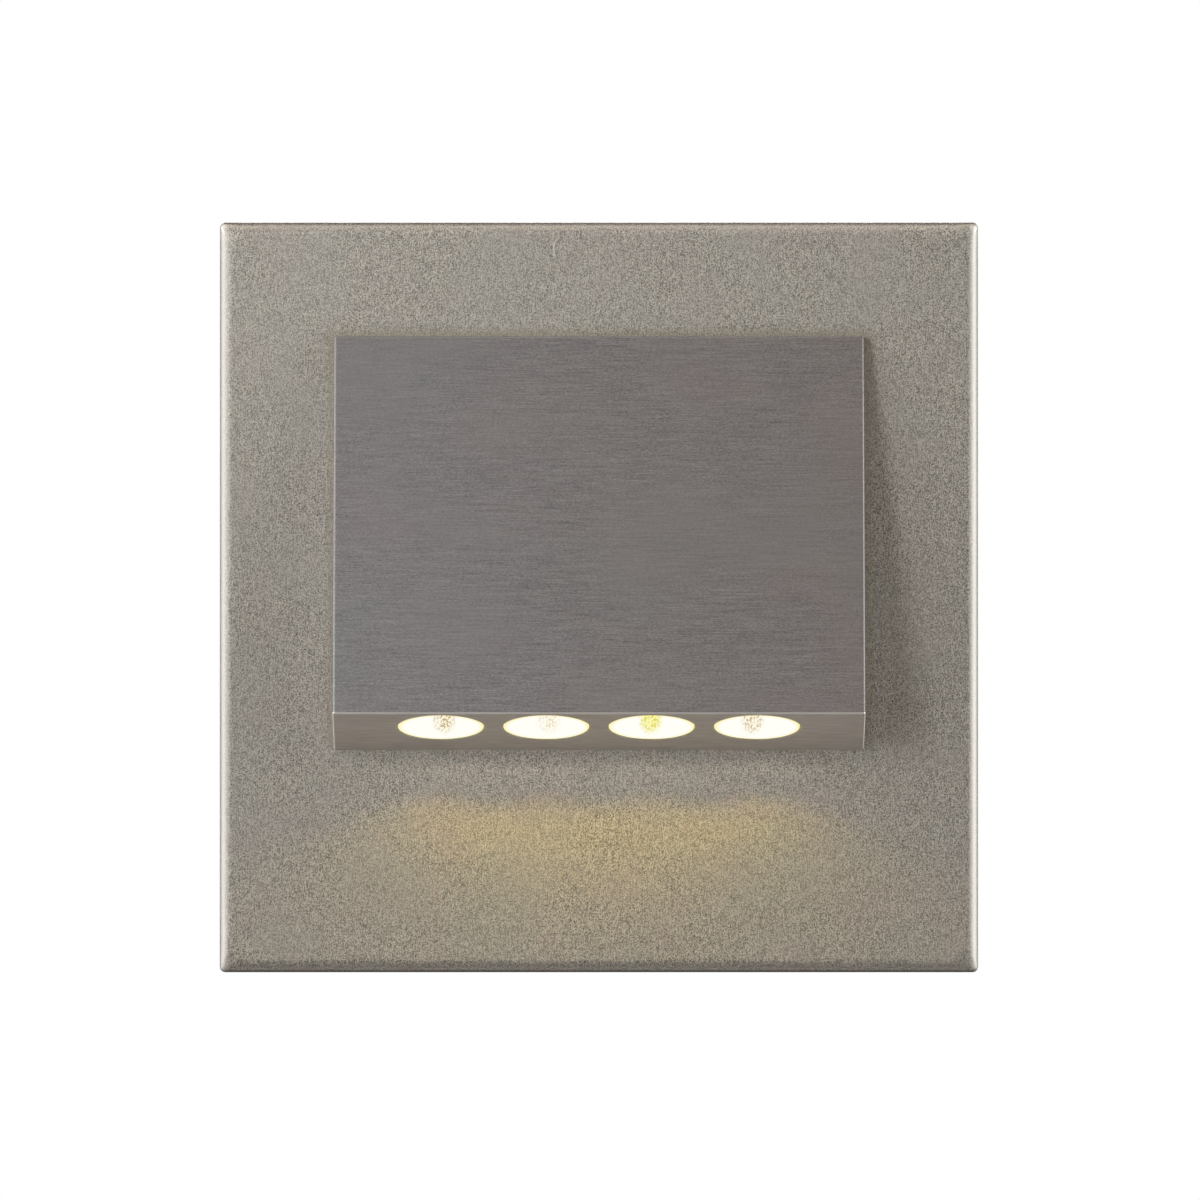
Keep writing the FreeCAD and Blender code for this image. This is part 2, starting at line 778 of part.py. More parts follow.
def terminal_places():
    """X of the two wire clamps in the terminal block."""
    return [terminal_x - terminal_pitch / 2, terminal_x + terminal_pitch / 2]


def terminal_block():
    """Two-way screw terminal: wires enter from below and screws face the front."""
    body = on_driver(terminal_length, terminal_width, terminal_height, terminal_x, terminal_z)
    top_y = driver_front_y - terminal_height
    wire_y = driver_front_y - terminal_wire_height
    mouth_z = terminal_z - terminal_width / 2
    sink_end = top_y + terminal_screw_sink + terminal_screw_depth
    for x in terminal_places():
        body = body.cut(rod_y(terminal_screw_radius + thread_clearance, x, terminal_z, top_y, sink_end))
        body = body.cut(rod_z(terminal_wire_radius, x, wire_y, mouth_z, mouth_z + terminal_wire_depth))
    return body


def terminal_screws():
    """Slotted clamp screws, a little below the block's top."""
    top_y = driver_front_y - terminal_height + terminal_screw_sink
    slot_width = terminal_screw_radius / 3
    screws = []
    for x in terminal_places():
        screw = rod_y(terminal_screw_radius, x, terminal_z, top_y, top_y + terminal_screw_depth)
        x0 = x - terminal_screw_radius
        x1 = x + terminal_screw_radius
        z0 = terminal_z - slot_width / 2
        screws.append(screw.cut(block(x0, x1, top_y, top_y + slot_width, z0, z0 + slot_width)))
    return Part.makeCompound(screws)


def lead_connector():
    """Small plug housing where the lamps' two leads meet the driver board."""
    return on_driver(connector_length, connector_width, connector_height, connector_x, connector_z)


def lamp_lead(side):
    """Insulated lead from the lamp board's rear edge to the driver's connector."""
    x = connector_x + side * lead_pitch / 2
    middle = board_base + board_thickness / 2
    plug_y = driver_front_y - connector_height
    start = Vector(x, *underside_point(board_back, middle))
    away = Vector(x, *underside_point(board_back + lead_first_run, middle))
    points = [
        start,
        away,
        away + Vector(0, lead_second_run, lead_second_run * lead_rise),
        Vector(x, plug_y - 2 * lead_last_run, connector_z - lead_dip),
        Vector(x, plug_y - lead_last_run, connector_z),
        Vector(x, plug_y, connector_z),
    ]
    return routed_tube(points, lead_radius)


# ---------------------------------------------------------------- cable gland

def gland_ring():
    """Rubber ring between the gland and the housing."""
    inner = gland_thread_radius + gland_hole_clearance
    return tube_y(gland_ring_radius, inner, 0, gland_z, housing_back_y, gland_hex_start_y)


def gland_body():
    """Threaded body through the housing's back, with a hexagon and a stub for the cap."""
    inside_y = housing_floor_y - gland_inside_length
    pocket = gland_seal_radius + thread_clearance
    body = rod_y(gland_thread_radius, 0, gland_z, inside_y, gland_hex_end_y)
    body = body.fuse(hexagon_y(gland_across_flats, 0, gland_z, gland_hex_start_y, gland_hex_end_y))
    body = body.fuse(rod_y(gland_stub_radius, 0, gland_z, gland_hex_end_y, gland_stub_end_y))
    body = body.cut(rod_y(gland_bore_radius, 0, gland_z, inside_y, gland_stub_end_y))
    return body.cut(rod_y(pocket, 0, gland_z, gland_seal_start_y, gland_stub_end_y)).removeSplitter()


def gland_locknut():
    """Nut inside the housing."""
    y0 = housing_floor_y - gland_nut_thickness
    nut = hexagon_y(gland_nut_across_flats, 0, gland_z, y0, housing_floor_y)
    return nut.cut(rod_y(gland_thread_radius + thread_clearance, 0, gland_z, y0, housing_floor_y))


def gland_seal():
    """Rubber sleeve that grips the cable."""
    return tube_y(gland_seal_radius, cable_radius, 0, gland_z, gland_seal_start_y, gland_seal_end_y)


def gland_cap():
    """Cap nut that squeezes the sleeve."""
    end_y = gland_seal_end_y + gland_cap_wall
    thread = gland_stub_radius + gland_thread_clearance
    cap = hexagon_y(gland_cap_across_flats, 0, gland_z, gland_cap_start_y, end_y)
    cap = cap.common(rod_y(gland_cap_corner_radius, 0, gland_z, gland_cap_start_y, end_y))
    cap = cap.cut(rod_y(thread, 0, gland_z, gland_cap_start_y, gland_seal_end_y))
    return cap.cut(rod_y(gland_cap_mouth_radius, 0, gland_z, gland_seal_end_y, end_y))


# ---------------------------------------------------------------- wing clips
def clip_screw_places():
    """Y of the two screws in each clip's base."""
    return [clip_seat_start_y + clip_screw_inset, clip_seat_end_y - clip_screw_inset]


def clip_screw_hole(side, y):
    """The tapped hole for a clip's screw, into the clip's seat from its outer face."""
    radius = clip_screw_radius + thread_clearance
    mouth = Vector(side * clip_seat_face_x, y, 0)
    return Part.makeCylinder(radius, clip_screw_depth, mouth, Vector(-side, 0, 0))


def clip_bracket():
    """Right-hand bracket: a flat base and two ears that carry the pin."""
    half = clip_ear_outside_half
    y0 = clip_seat_start_y + clip_base_margin
    y1 = clip_seat_end_y - clip_base_margin
    bracket = block(clip_seat_face_x, clip_base_outer_x, y0, y1, -half, half)
    ear_y0 = clip_pin_y - clip_ear_reach
    ear_y1 = clip_pin_y + clip_ear_reach
    for side in (-1, 1):
        near, far = sorted((side * clip_ear_inside_half, side * half))
        ear = block(clip_seat_face_x, clip_pin_x, ear_y0, ear_y1, near, far)
        bracket = bracket.fuse([ear, rod_z(clip_ear_reach, clip_pin_x, clip_pin_y, near, far)])
    bracket = bracket.cut(rod_z(clip_pin_radius + clip_ear_clearance, clip_pin_x, clip_pin_y, -half, half))
    for y in clip_screw_places():
        foot = Vector(clip_seat_face_x, y, 0)
        hole = Part.makeCylinder(clip_screw_radius + thread_clearance, clip_base_thickness, foot, X_AXIS)
        bracket = bracket.cut(hole)
    return bracket.removeSplitter()


def clip_pin():
    """Headed pin through the ears and the arm."""
    pin = rod_z(clip_pin_radius, clip_pin_x, clip_pin_y, -clip_ear_outside_half, clip_ear_outside_half)
    for side in (-1, 1):
        tip = side * (clip_ear_outside_half + clip_pin_head_thickness)
        near, far = sorted((side * clip_ear_outside_half, tip))
        pin = pin.fuse(rod_z(clip_pin_head_radius, clip_pin_x, clip_pin_y, near, far))
    return pin.removeSplitter()


def clip_screws():
    """Screws that hold both clip brackets to the housing."""
    screws = []
    for side in (-1, 1):
        for y in clip_screw_places():
            foot = Vector(side * clip_base_outer_x, y, 0)
            head = Part.makeCylinder(clip_screw_head_radius, clip_screw_head_height, foot, Vector(side, 0, 0))
            reach = clip_base_thickness + clip_screw_depth - thread_clearance
            shank = Part.makeCylinder(clip_screw_radius, reach, foot, Vector(-side, 0, 0))
            screws.append(head.fuse(shank).removeSplitter())
    return Part.makeCompound(screws)


def at_clip_pin(shape):
    """Moves a piece built round the origin, arm along +X, to the right-hand pin and leans it."""
    moved = shape.copy()
    moved.Placement = Placement(Vector(clip_pin_x, clip_pin_y, 0), Rotation(Z_AXIS, -arm_lean))
    return moved


def arm_blade():
    """Blade and hooked tip, round the pin's own axes."""
    half = arm_half_width
    near, far = arm_offset, arm_offset + arm_sheet
    blade = block(arm_blade_start, arm_length, near, far, -half, half)
    hook = block(arm_length - arm_sheet, arm_length, far - arm_sheet - arm_hook, far, -half, half)
    return blade.fuse(hook).removeSplitter()


def clip_arm():
    """Right-hand wing: two knuckles on the pin, a blade and a hooked tip."""
    half = arm_half_width
    arm = arm_blade()
    blade_back = arm_offset + arm_sheet
    for side in (-1, 1):
        near, far = sorted((side * half, side * (half - arm_sheet)))
        knuckle = rod_z(spring_outer_radius, 0, 0, near, far)
        web = block(0, arm_blade_start + arm_sheet, -spring_outer_radius / 2, blade_back, near, far)
        arm = arm.fuse([knuckle, web])
    arm = arm.cut(rod_z(clip_pin_radius + clip_pin_clearance, 0, 0, -half, half))
    return at_clip_pin(arm.removeSplitter())


def clip_sleeve():
    """Soft cap over the wing's tip, which presses on the back of the panel."""
    half = arm_half_width + arm_sleeve_wall
    start = arm_length - arm_sleeve_reach
    tip = arm_length + arm_sleeve_wall
    back = arm_offset + arm_sheet + arm_sleeve_wall
    front = arm_offset - arm_hook - arm_sleeve_wall
    sleeve = block(start, tip, front, back, -half, half)
    hollow_end = arm_length - arm_sheet - arm_sleeve_wall
    hollow = block(start, hollow_end, front, arm_offset - arm_sleeve_wall, -half, half)
    return at_clip_pin(sleeve.cut(hollow).cut(arm_blade()))


def coil_point(turn):
    """A point of the spring's coil and the way that it runs there, clockwise from above."""
    angle = math.pi * (1 - 2 * turn)
    place = Vector(
        spring_coil_radius * math.cos(angle), spring_coil_radius * math.sin(angle), spring_pitch * turn
    )
    climb = spring_pitch / (2 * math.pi * spring_coil_radius)
    heading = Vector(math.sin(angle), -math.cos(angle), climb).normalize()
    return place, heading


def biarc(start, start_heading, end, end_heading):
    """Two tangent arcs from one point and heading to another."""
    gap = end - start
    both = start_heading + end_heading
    spread = 2 * (1 - start_heading.dot(end_heading))
    along = gap.dot(both)
    reach = (-along + math.sqrt(along**2 + spread * gap.dot(gap))) / spread
    first = start + start_heading * reach
    last = end - end_heading * reach
    middle = (first + last) * 0.5
    return [arc_between(start, first, middle), arc_between(middle, last, end)]


def coil_least_gap():
    """The least distance between two turns of the spring, measured on points."""
    per_turn = 36
    points = [coil_point(i / per_turn)[0] for i in range(int(per_turn * spring_turns) + 1)]
    gaps = []
    for i, here in enumerate(points):
        for there in points[i + per_turn // 2 :]:
            gaps.append(here.distanceToPoint(there) - 2 * spring_wire_radius)
    return min(gaps)


def clip_spring():
    """Torsion spring round the pin: one leg along the base, the other behind the arm."""
    knot_count = round(spring_turns / spring_knot_spacing)
    knots = [coil_point(i * spring_turns / knot_count) for i in range(knot_count + 1)]
    base_end, base_heading = knots[0]
    arm_end, arm_heading = knots[-1]
    edges = [Part.LineSegment(base_end - base_heading * spring_base_leg, base_end).toShape()]
    for (start, heading), (end, end_heading) in zip(knots, knots[1:]):
        edges.extend(biarc(start, heading, end, end_heading))
    edges.append(Part.LineSegment(arm_end, arm_end + arm_heading * spring_arm_leg).toShape())
    spring = round_tube(edges, spring_wire_radius, base_end - base_heading * spring_base_leg, base_heading)
    spring.translate(Vector(clip_pin_x, clip_pin_y, -spring_pitch * spring_turns / 2))
    print(f"spring: least gap to itself {coil_least_gap():.2f}")
    return spring


# ---------------------------------------------------------------- output
def all_pieces():
    """Every sub-part by its node's name."""
    pieces = {
        "face_plate": face_plate(),
        "hood": hood(),
        "weld_studs": weld_studs(),
        "aperture_seal": aperture_seal(),
        "aperture_window": aperture_window(),
        "led_board": led_board(),
        "thermal_pad": thermal_pad(),
        "heat_bracket": heat_bracket(),
        "led_board_screws": led_board_screws(),
        "bracket_nuts": bracket_nuts(),
        "housing_flange": housing_flange(),
        "housing": housing(),
        "housing_back": housing_back(),
        "housing_gasket": housing_gasket(),
        "flange_washers": flange_washers(),
        "flange_nuts": flange_nuts(),
        "wall_gasket": wall_gasket(),
        "driver_board": driver_board(),
        "board_standoffs": board_standoffs(),
        "driver_screws": driver_screws(),
        "driver_inductor": driver_inductor(),
        "driver_capacitors": driver_capacitors(),
        "driver_chip": driver_chip(),
        "terminal_block": terminal_block(),
        "terminal_screws": terminal_screws(),
        "lead_connector": lead_connector(),
        "lamp_lead_positive": lamp_lead(1),
        "lamp_lead_negative": lamp_lead(-1),
        "gland_ring": gland_ring(),
        "gland_body": gland_body(),
        "gland_locknut": gland_locknut(),
        "gland_seal": gland_seal(),
        "gland_cap": gland_cap(),
        "clip_screws": clip_screws(),
    }
    for number, x in enumerate(lamp_places, start=1):
        pieces[f"reflector_{number}"] = reflector(x)
        pieces[f"led_emitter_{number}"] = emitter(x)
    for name, make in (
        ("clip_bracket", clip_bracket),
        ("clip_pin", clip_pin),
        ("clip_arm", clip_arm),
        ("clip_sleeve", clip_sleeve),
        ("clip_spring", clip_spring),
    ):
        right = make()
        pieces[f"{name}_right"] = right
        pieces[f"{name}_left"] = mirrored(right)
    return pieces


def main():
    """Writes each sub-part as its own STEP file."""
    os.makedirs("parts", exist_ok=True)
    for name, shape in all_pieces().items():
        if not shape.isValid():
            print(f"{name} is not valid")
        print(f"{name}: {len(shape.Solids)} solid(s), {shape.Volume / 1000:.3f} cm3")
        shape.exportStep(f"parts/{name}.step")


main()
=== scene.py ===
"""Looks of a recessed step light: a square steel face with a wedge-shaped hood and four lamps.

Metres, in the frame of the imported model: +Z up, +X right seen from the front, +Y into the wall.
"""

import json
import math

import bmesh
import bpy
from mathutils import Matrix, Vector, noise


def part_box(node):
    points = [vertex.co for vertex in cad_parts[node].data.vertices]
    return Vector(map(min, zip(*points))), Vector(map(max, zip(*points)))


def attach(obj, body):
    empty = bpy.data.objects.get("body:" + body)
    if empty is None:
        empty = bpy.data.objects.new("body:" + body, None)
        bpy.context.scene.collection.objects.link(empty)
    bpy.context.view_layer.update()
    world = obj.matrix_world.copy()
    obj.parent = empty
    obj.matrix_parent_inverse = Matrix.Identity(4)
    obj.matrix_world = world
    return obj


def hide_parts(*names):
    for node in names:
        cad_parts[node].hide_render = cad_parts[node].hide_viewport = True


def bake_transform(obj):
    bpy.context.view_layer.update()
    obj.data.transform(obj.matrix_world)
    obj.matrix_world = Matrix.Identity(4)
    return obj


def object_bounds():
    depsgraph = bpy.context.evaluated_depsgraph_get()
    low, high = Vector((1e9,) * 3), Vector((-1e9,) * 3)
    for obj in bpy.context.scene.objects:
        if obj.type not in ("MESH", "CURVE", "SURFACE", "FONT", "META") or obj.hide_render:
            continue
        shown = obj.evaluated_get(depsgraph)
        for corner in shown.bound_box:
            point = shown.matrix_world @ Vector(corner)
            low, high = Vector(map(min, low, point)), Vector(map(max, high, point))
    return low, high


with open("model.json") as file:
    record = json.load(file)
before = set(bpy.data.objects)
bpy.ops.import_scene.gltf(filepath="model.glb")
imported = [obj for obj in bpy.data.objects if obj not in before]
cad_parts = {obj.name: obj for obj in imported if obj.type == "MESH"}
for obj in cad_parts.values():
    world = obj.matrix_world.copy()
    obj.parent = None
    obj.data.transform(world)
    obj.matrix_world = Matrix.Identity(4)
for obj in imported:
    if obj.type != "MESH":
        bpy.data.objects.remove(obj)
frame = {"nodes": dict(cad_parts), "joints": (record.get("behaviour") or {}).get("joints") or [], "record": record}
cad_low, cad_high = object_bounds()
nodes = frame["nodes"]
record = frame["record"]
MM = 0.001

HOOD_SHADE_WIDTH = 2.0 * MM  # painted shade: a brown band on the face, above and beside the hood
HOOD_SHADE_AMOUNT = 0.45


# ---------------------------------------------------------------- node helpers
class Nodes:
    """Adds nodes and links to one node tree."""

    def __init__(self, tree):
        self.tree = tree

    def add(self, kind, **settings):
        node = self.tree.nodes.new(kind)
        for key, value in settings.items():
            setattr(node, key, value)
        return node

    def link(self, start, end):
        self.tree.links.new(start, end)

    def put(self, value, socket):
        """Links a socket to another, or sets it to a number or a colour."""
        if isinstance(value, bpy.types.NodeSocket):
            self.link(value, socket)
        elif isinstance(value, tuple) and len(value) == 3:
            socket.default_value = (*value, 1.0)
        else:
            socket.default_value = value

    def spread(self, value, low, high, to_low=0.0, to_high=1.0, smooth=False):
        """Value between low and high, moved to a new range and kept in it."""
        node = self.add("ShaderNodeMapRange", clamp=True)
        if smooth:
            node.interpolation_type = "SMOOTHSTEP"
        limits = {"From Min": low, "From Max": high, "To Min": to_low, "To Max": to_high}
        for key, number in limits.items():
            node.inputs[key].default_value = number
        self.link(value, node.inputs["Value"])
        return node.outputs["Result"]

    def math(self, operation, first, second=0.0):
        node = self.add("ShaderNodeMath", operation=operation)
        self.put(first, node.inputs[0])
        self.put(second, node.inputs[1])
        return node.outputs[0]

    def blend(self, factor, first, second, how="MIX"):
        """Mix of two colours, each a tuple or a socket."""
        node = self.add("ShaderNodeMix", data_type="RGBA", blend_type=how)
        self.put(factor, node.inputs[0])
        self.put(first, node.inputs[6])
        self.put(second, node.inputs[7])
        return node.outputs[2]

    def ramp(self, value, stops):
        """Colour by value: stops are (value, brightness or colour) from -1 to 1."""
        node = self.add("ShaderNodeValToRGB")
        node.color_ramp.interpolation = "EASE"
        elements = node.color_ramp.elements
        while len(elements) < len(stops):
            elements.new(0.5)
        for element, (at, colour) in zip(elements, stops):
            element.position = (at + 1) / 2
            shade = colour if isinstance(colour, tuple) else (colour,) * 3
            element.color = (*shade, 1.0)
        self.link(self.spread(value, -1.0, 1.0), node.inputs["Fac"])
        return node.outputs["Color"]


class Shader(Nodes):
    """Builds one material on a Principled shader, with coordinates in metres."""

    def __init__(self, name, **values):
        self.material = bpy.data.materials.new(name)
        self.material.use_nodes = True
        super().__init__(self.material.node_tree)
        self.surface = next(n for n in self.tree.nodes if n.type == "BSDF_PRINCIPLED")
        self.place = self.add("ShaderNodeTexCoord").outputs["Object"]
        for key, value in values.items():
            self.surface.inputs[key.replace("_", " ")].default_value = value

    def scaled(self, per_metre):
        """Coordinates stretched by cells per metre along X, Y and Z."""
        node = self.add("ShaderNodeMapping")
        node.inputs["Scale"].default_value = per_metre
        self.link(self.place, node.inputs["Vector"])
        return node.outputs["Vector"]

    def noise(self, per_metre, detail=2.0, rough=0.5):
        node = self.add("ShaderNodeTexNoise")
        node.inputs["Scale"].default_value = 1.0
        node.inputs["Detail"].default_value = detail
        node.inputs["Roughness"].default_value = rough
        self.link(self.scaled(per_metre), node.inputs["Vector"])
        return node.outputs["Fac"]

    def cells(self, per_metre, feature="F1", randomness=1.0):
        node = self.add("ShaderNodeTexVoronoi", feature=feature)
        node.inputs["Scale"].default_value = 1.0
        node.inputs["Randomness"].default_value = randomness
        self.link(self.scaled(per_metre), node.inputs["Vector"])
        return node.outputs["Distance"]

    def set(self, name, value):
        self.put(value, self.surface.inputs[name])

    def bump(self, height, strength, distance):
        node = self.add("ShaderNodeBump")
        node.inputs["Strength"].default_value = strength
        node.inputs["Distance"].default_value = distance
        self.link(height, node.inputs["Height"])
        previous = self.surface.inputs["Normal"].links
        if previous:
            self.link(previous[0].from_socket, node.inputs["Normal"])
        self.link(node.outputs["Normal"], self.surface.inputs["Normal"])

    def normal_axis(self, axis):
        """How far the surface faces along X, Y or Z."""
        split = self.add("ShaderNodeSeparateXYZ")
        self.link(self.add("ShaderNodeNewGeometry").outputs["Normal"], split.inputs[0])
        return split.outputs[axis]

    def painted_hood_shade(self):
        """Amount of the painted shade of the hood: a brown band on the face above and beside it."""
        low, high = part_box("hood")
        axis = self.add("ShaderNodeSeparateXYZ")
        self.link(self.place, axis.inputs[0])
        squares = []
        for key, start, end in (("X", low.x, high.x), ("Z", low.z, high.z)):
            off_middle = self.math("SUBTRACT", axis.outputs[key], (start + end) / 2)
            past_side = self.math("SUBTRACT", self.math("ABSOLUTE", off_middle), (end - start) / 2)
            gap = self.math("MAXIMUM", past_side, 0.0)
            squares.append(self.math("MULTIPLY", gap, gap))
        away = self.math("SQRT", self.math("ADD", *squares))
        amount = self.spread(away, 0.0, HOOD_SHADE_WIDTH, HOOD_SHADE_AMOUNT, 0.0, smooth=True)
        above_foot = self.spread(axis.outputs["Z"], low.z, low.z + HOOD_SHADE_WIDTH)
        return self.math("MULTIPLY", amount, above_foot)

    def grain_along(self, axis):
        """Turns the stretched gloss across the surface and square to an axis."""
        cross = self.add("ShaderNodeVectorMath", operation="CROSS_PRODUCT")
        self.link(self.add("ShaderNodeNewGeometry").outputs["Normal"], cross.inputs[0])
        cross.inputs[1].default_value = axis
        self.link(cross.outputs["Vector"], self.surface.inputs["Tangent"])


# ---------------------------------------------------------------- metals
def brushed_face():
    """Stainless steel with a fine beaded grain under a faint upright brush."""
    s = Shader("brushed_face", Metallic=1.0, Roughness=0.52, Anisotropic=0.5)
    bead = s.noise((5500, 5500, 4500), 1.0, 0.6)
    streak = s.noise((4600, 4600, 600), 2.0, 0.6)
    cloud = s.noise((95, 95, 75), 3.0, 0.5)
    tint = s.noise((130, 130, 95), 3.0, 0.55)
    scratch = s.spread(s.noise((2600, 2600, 190), 0.0, 0.3), 0.86, 0.91)
    grain = s.math("ADD", s.math("MULTIPLY", bead, 0.74), s.math("MULTIPLY", streak, 0.26))
    colour = s.blend(s.spread(grain, 0.36, 0.64), (0.17, 0.16, 0.141), (0.655, 0.61, 0.541))
    colour = s.blend(s.spread(tint, 0.46, 0.64, 0.0, 0.20), colour, (0.475, 0.395, 0.375))
    colour = s.blend(s.spread(cloud, 0.46, 0.64, 0.0, 0.18), colour, (0.40, 0.425, 0.38))
    colour = s.blend(s.math("MULTIPLY", scratch, 0.45), colour, (0.90, 0.87, 0.80))
    # Painted shade of the hood: a brown band on the face around it.
    colour = s.blend(s.painted_hood_shade(), colour, (0.31, 0.265, 0.185))
    # Painted highlight: the rolled left and right edges get a lighter colour and a lower roughness.
    sideways = s.math("ABSOLUTE", s.normal_axis("X"))
    turned = s.spread(sideways, 0.15, 0.75)
    painted_edge_highlight = s.math("MULTIPLY", turned, s.spread(sideways, 0.90, 0.98, 0.75, 0.0))
    s.set("Base Color", s.blend(painted_edge_highlight, colour, (0.76, 0.735, 0.69)))
    rough = s.spread(bead, 0.3, 0.7, 0.47, 0.57)
    s.set("Roughness", s.math("SUBTRACT", rough, s.math("MULTIPLY", painted_edge_highlight, 0.16)))
    s.bump(grain, 0.25, 0.00002)
    s.grain_along((0.0, 0.05, 1.0))
    return s.material


def brushed_hood():
    """Stainless steel, brushed from side to side, smoother and more neutral than the face."""
    s = Shader("brushed_hood", Metallic=1.0, Roughness=0.48, Anisotropic=0.5)
    line = s.noise((230, 6600, 6600), 1.0, 0.6)
    long_line = s.noise((90, 5000, 5000), 1.0, 0.5)
    speck = s.noise((2600, 6400, 6400), 1.0, 0.6)
    cloud = s.noise((45, 70, 70), 2.0, 0.5)
    cool = s.noise((28, 40, 40), 1.0, 0.5)
    lines = s.math("ADD", s.math("MULTIPLY", line, 0.34), s.math("MULTIPLY", long_line, 0.12))
    grain = s.math("ADD", lines, s.math("MULTIPLY", speck, 0.54))
    colour = s.blend(s.spread(grain, 0.36, 0.64), (0.205, 0.203, 0.211), (0.375, 0.371, 0.379))
    colour = s.blend(s.spread(cloud, 0.42, 0.66, 0.0, 0.35), colour, (0.335, 0.305, 0.31))
    colour = s.blend(s.spread(cool, 0.45, 0.65, 0.0, 0.30), colour, (0.28, 0.305, 0.312))
    across = s.add("ShaderNodeSeparateXYZ")
    s.link(s.place, across.inputs[0])
    to_right = s.spread(across.outputs["X"], -0.03, 0.04)
    colour = s.blend(to_right, colour, s.blend(1.0, colour, (1.0, 0.955, 0.93), "MULTIPLY"))
    facing_up = s.normal_axis("Z")
    # Painted light: the underside gets a far lighter colour than the front of the same sheet.
    below = s.spread(facing_up, -0.6, -0.9)
    under = s.blend(s.spread(line, 0.3, 0.7), (0.66, 0.62, 0.58), (0.88, 0.83, 0.78))
    # Painted highlight: a lighter band where the hood's front turns into its underside.
    painted_edge_highlight = s.math("MULTIPLY", s.spread(facing_up, 0.05, -0.15), s.spread(facing_up, -0.88, -0.6))
    colour = s.blend(painted_edge_highlight, s.blend(below, colour, under), (0.96, 0.93, 0.90))
    s.set("Base Color", colour)
    s.set("Roughness", s.spread(long_line, 0.3, 0.7, 0.44, 0.52))
    s.bump(grain, 0.08, 0.00001)
    s.grain_along((1.0, 0.05, 0.03))
    return s.material


def plated(name, dark, light, roughness):
    """Zinc or nickel plate with a faint mottle and turning marks."""
    s = Shader(name, Metallic=1.0, Roughness=roughness)
    mottle = s.noise((900, 900, 900), 4.0, 0.6)
    fine = s.noise((5000, 5000, 5000), 1.0, 0.5)
    s.set("Base Color", s.blend(s.spread(mottle, 0.35, 0.65), dark, light))
    s.set("Roughness", s.spread(fine, 0.3, 0.7, roughness - 0.06, roughness + 0.08))
    s.bump(fine, 0.2, 0.00001)
    return s.material


def cast_housing():
    """Shot-blasted aluminium with a dull grey coat."""
    s = Shader("cast_housing", Metallic=0.55, Roughness=0.62)
    orange_peel = s.noise((1400, 1400, 1400), 3.0, 0.55)
    speck = s.cells((2600, 2600, 2600))
    patch = s.noise((70, 70, 70), 3.0, 0.55)
    colour = s.blend(s.spread(orange_peel, 0.35, 0.65), (0.20, 0.205, 0.215), (0.33, 0.335, 0.34))
    colour = s.blend(s.spread(patch, 0.4, 0.7, 0.0, 0.35), colour, (0.38, 0.375, 0.36))
    s.set("Base Color", colour)
    s.set("Roughness", s.spread(orange_peel, 0.3, 0.7, 0.52, 0.72))
    s.bump(orange_peel, 0.5, 0.00008)
    s.bump(speck, 0.25, 0.00004)
    return s.material


def bare_aluminium():
    """Bent aluminium sheet with its rolling lines."""
    s = Shader("bare_aluminium", Metallic=1.0, Roughness=0.38)
    rolled = s.noise((60, 2500, 2500), 3.0, 0.6)
    colour = s.blend(s.spread(rolled, 0.35, 0.65), (0.60, 0.60, 0.615), (0.78, 0.78, 0.785))
    s.set("Base Color", colour)
    s.set("Roughness", s.spread(rolled, 0.3, 0.7, 0.3, 0.46))
    s.bump(rolled, 0.2, 0.00001)
    return s.material


def clip_steel():
    """Rolled spring steel strip with faint heat tint."""
    s = Shader("clip_steel", Metallic=1.0, Roughness=0.33)
    rolled = s.noise((1200, 1200, 160), 3.0, 0.6)
    tint = s.noise((180, 180, 180), 2.0, 0.5)
    colour = s.blend(s.spread(rolled, 0.35, 0.65), (0.47, 0.47, 0.475), (0.66, 0.66, 0.655))
    colour = s.blend(s.spread(tint, 0.5, 0.75, 0.0, 0.4), colour, (0.56, 0.50, 0.42))
    s.set("Base Color", colour)
    s.set("Roughness", s.spread(rolled, 0.3, 0.7, 0.26, 0.42))
    s.bump(rolled, 0.2, 0.00001)
    return s.material


def spring_steel():
    """Drawn wire: bright, with fine die lines and darker oil between them."""
    s = Shader("spring_steel", Metallic=1.0, Roughness=0.27)
    drawn = s.noise((2600, 2600, 2600), 3.0, 0.6)
    oil = s.noise((500, 500, 500), 2.0, 0.5)
    colour = s.blend(s.spread(drawn, 0.35, 0.65), (0.42, 0.42, 0.43), (0.66, 0.66, 0.67))
    colour = s.blend(s.spread(oil, 0.5, 0.7, 0.0, 0.5), colour, (0.24, 0.235, 0.22))
    s.set("Base Color", colour)
    s.set("Roughness", s.spread(drawn, 0.3, 0.7, 0.2, 0.36))
    s.bump(drawn, 0.2, 0.00001)
    return s.material


# ---------------------------------------------------------------- plastics and rubber
def moulded(name, dark, light, roughness, per_metre=1800, depth=0.00004):
    """Moulded plastic with a spark-eroded grain."""
    s = Shader(name, Roughness=roughness)
    grain = s.noise((per_metre,) * 3, 3.0, 0.55)
    flow = s.noise((150, 150, 150), 2.0, 0.5)
    colour = s.blend(s.spread(flow, 0.35, 0.65), dark, light)
    s.set("Base Color", colour)
    s.set("Roughness", s.spread(grain, 0.3, 0.7, roughness - 0.08, roughness + 0.08))
    s.bump(grain, 0.4, depth)
    return s.material


def black_rubber():
    """Black rubber with a fine skin and a grey bloom."""
    s = Shader("black_rubber", Roughness=0.72)
    skin = s.noise((2400, 2400, 2400), 3.0, 0.6)
    bloom = s.noise((300, 300, 300), 3.0, 0.6)
    colour = s.blend(s.spread(bloom, 0.4, 0.7), (0.022, 0.022, 0.024), (0.065, 0.064, 0.062))
    s.set("Base Color", colour)
    s.set("Roughness", s.spread(skin, 0.3, 0.7, 0.6, 0.85))
    s.bump(skin, 0.5, 0.00005)
    return s.material


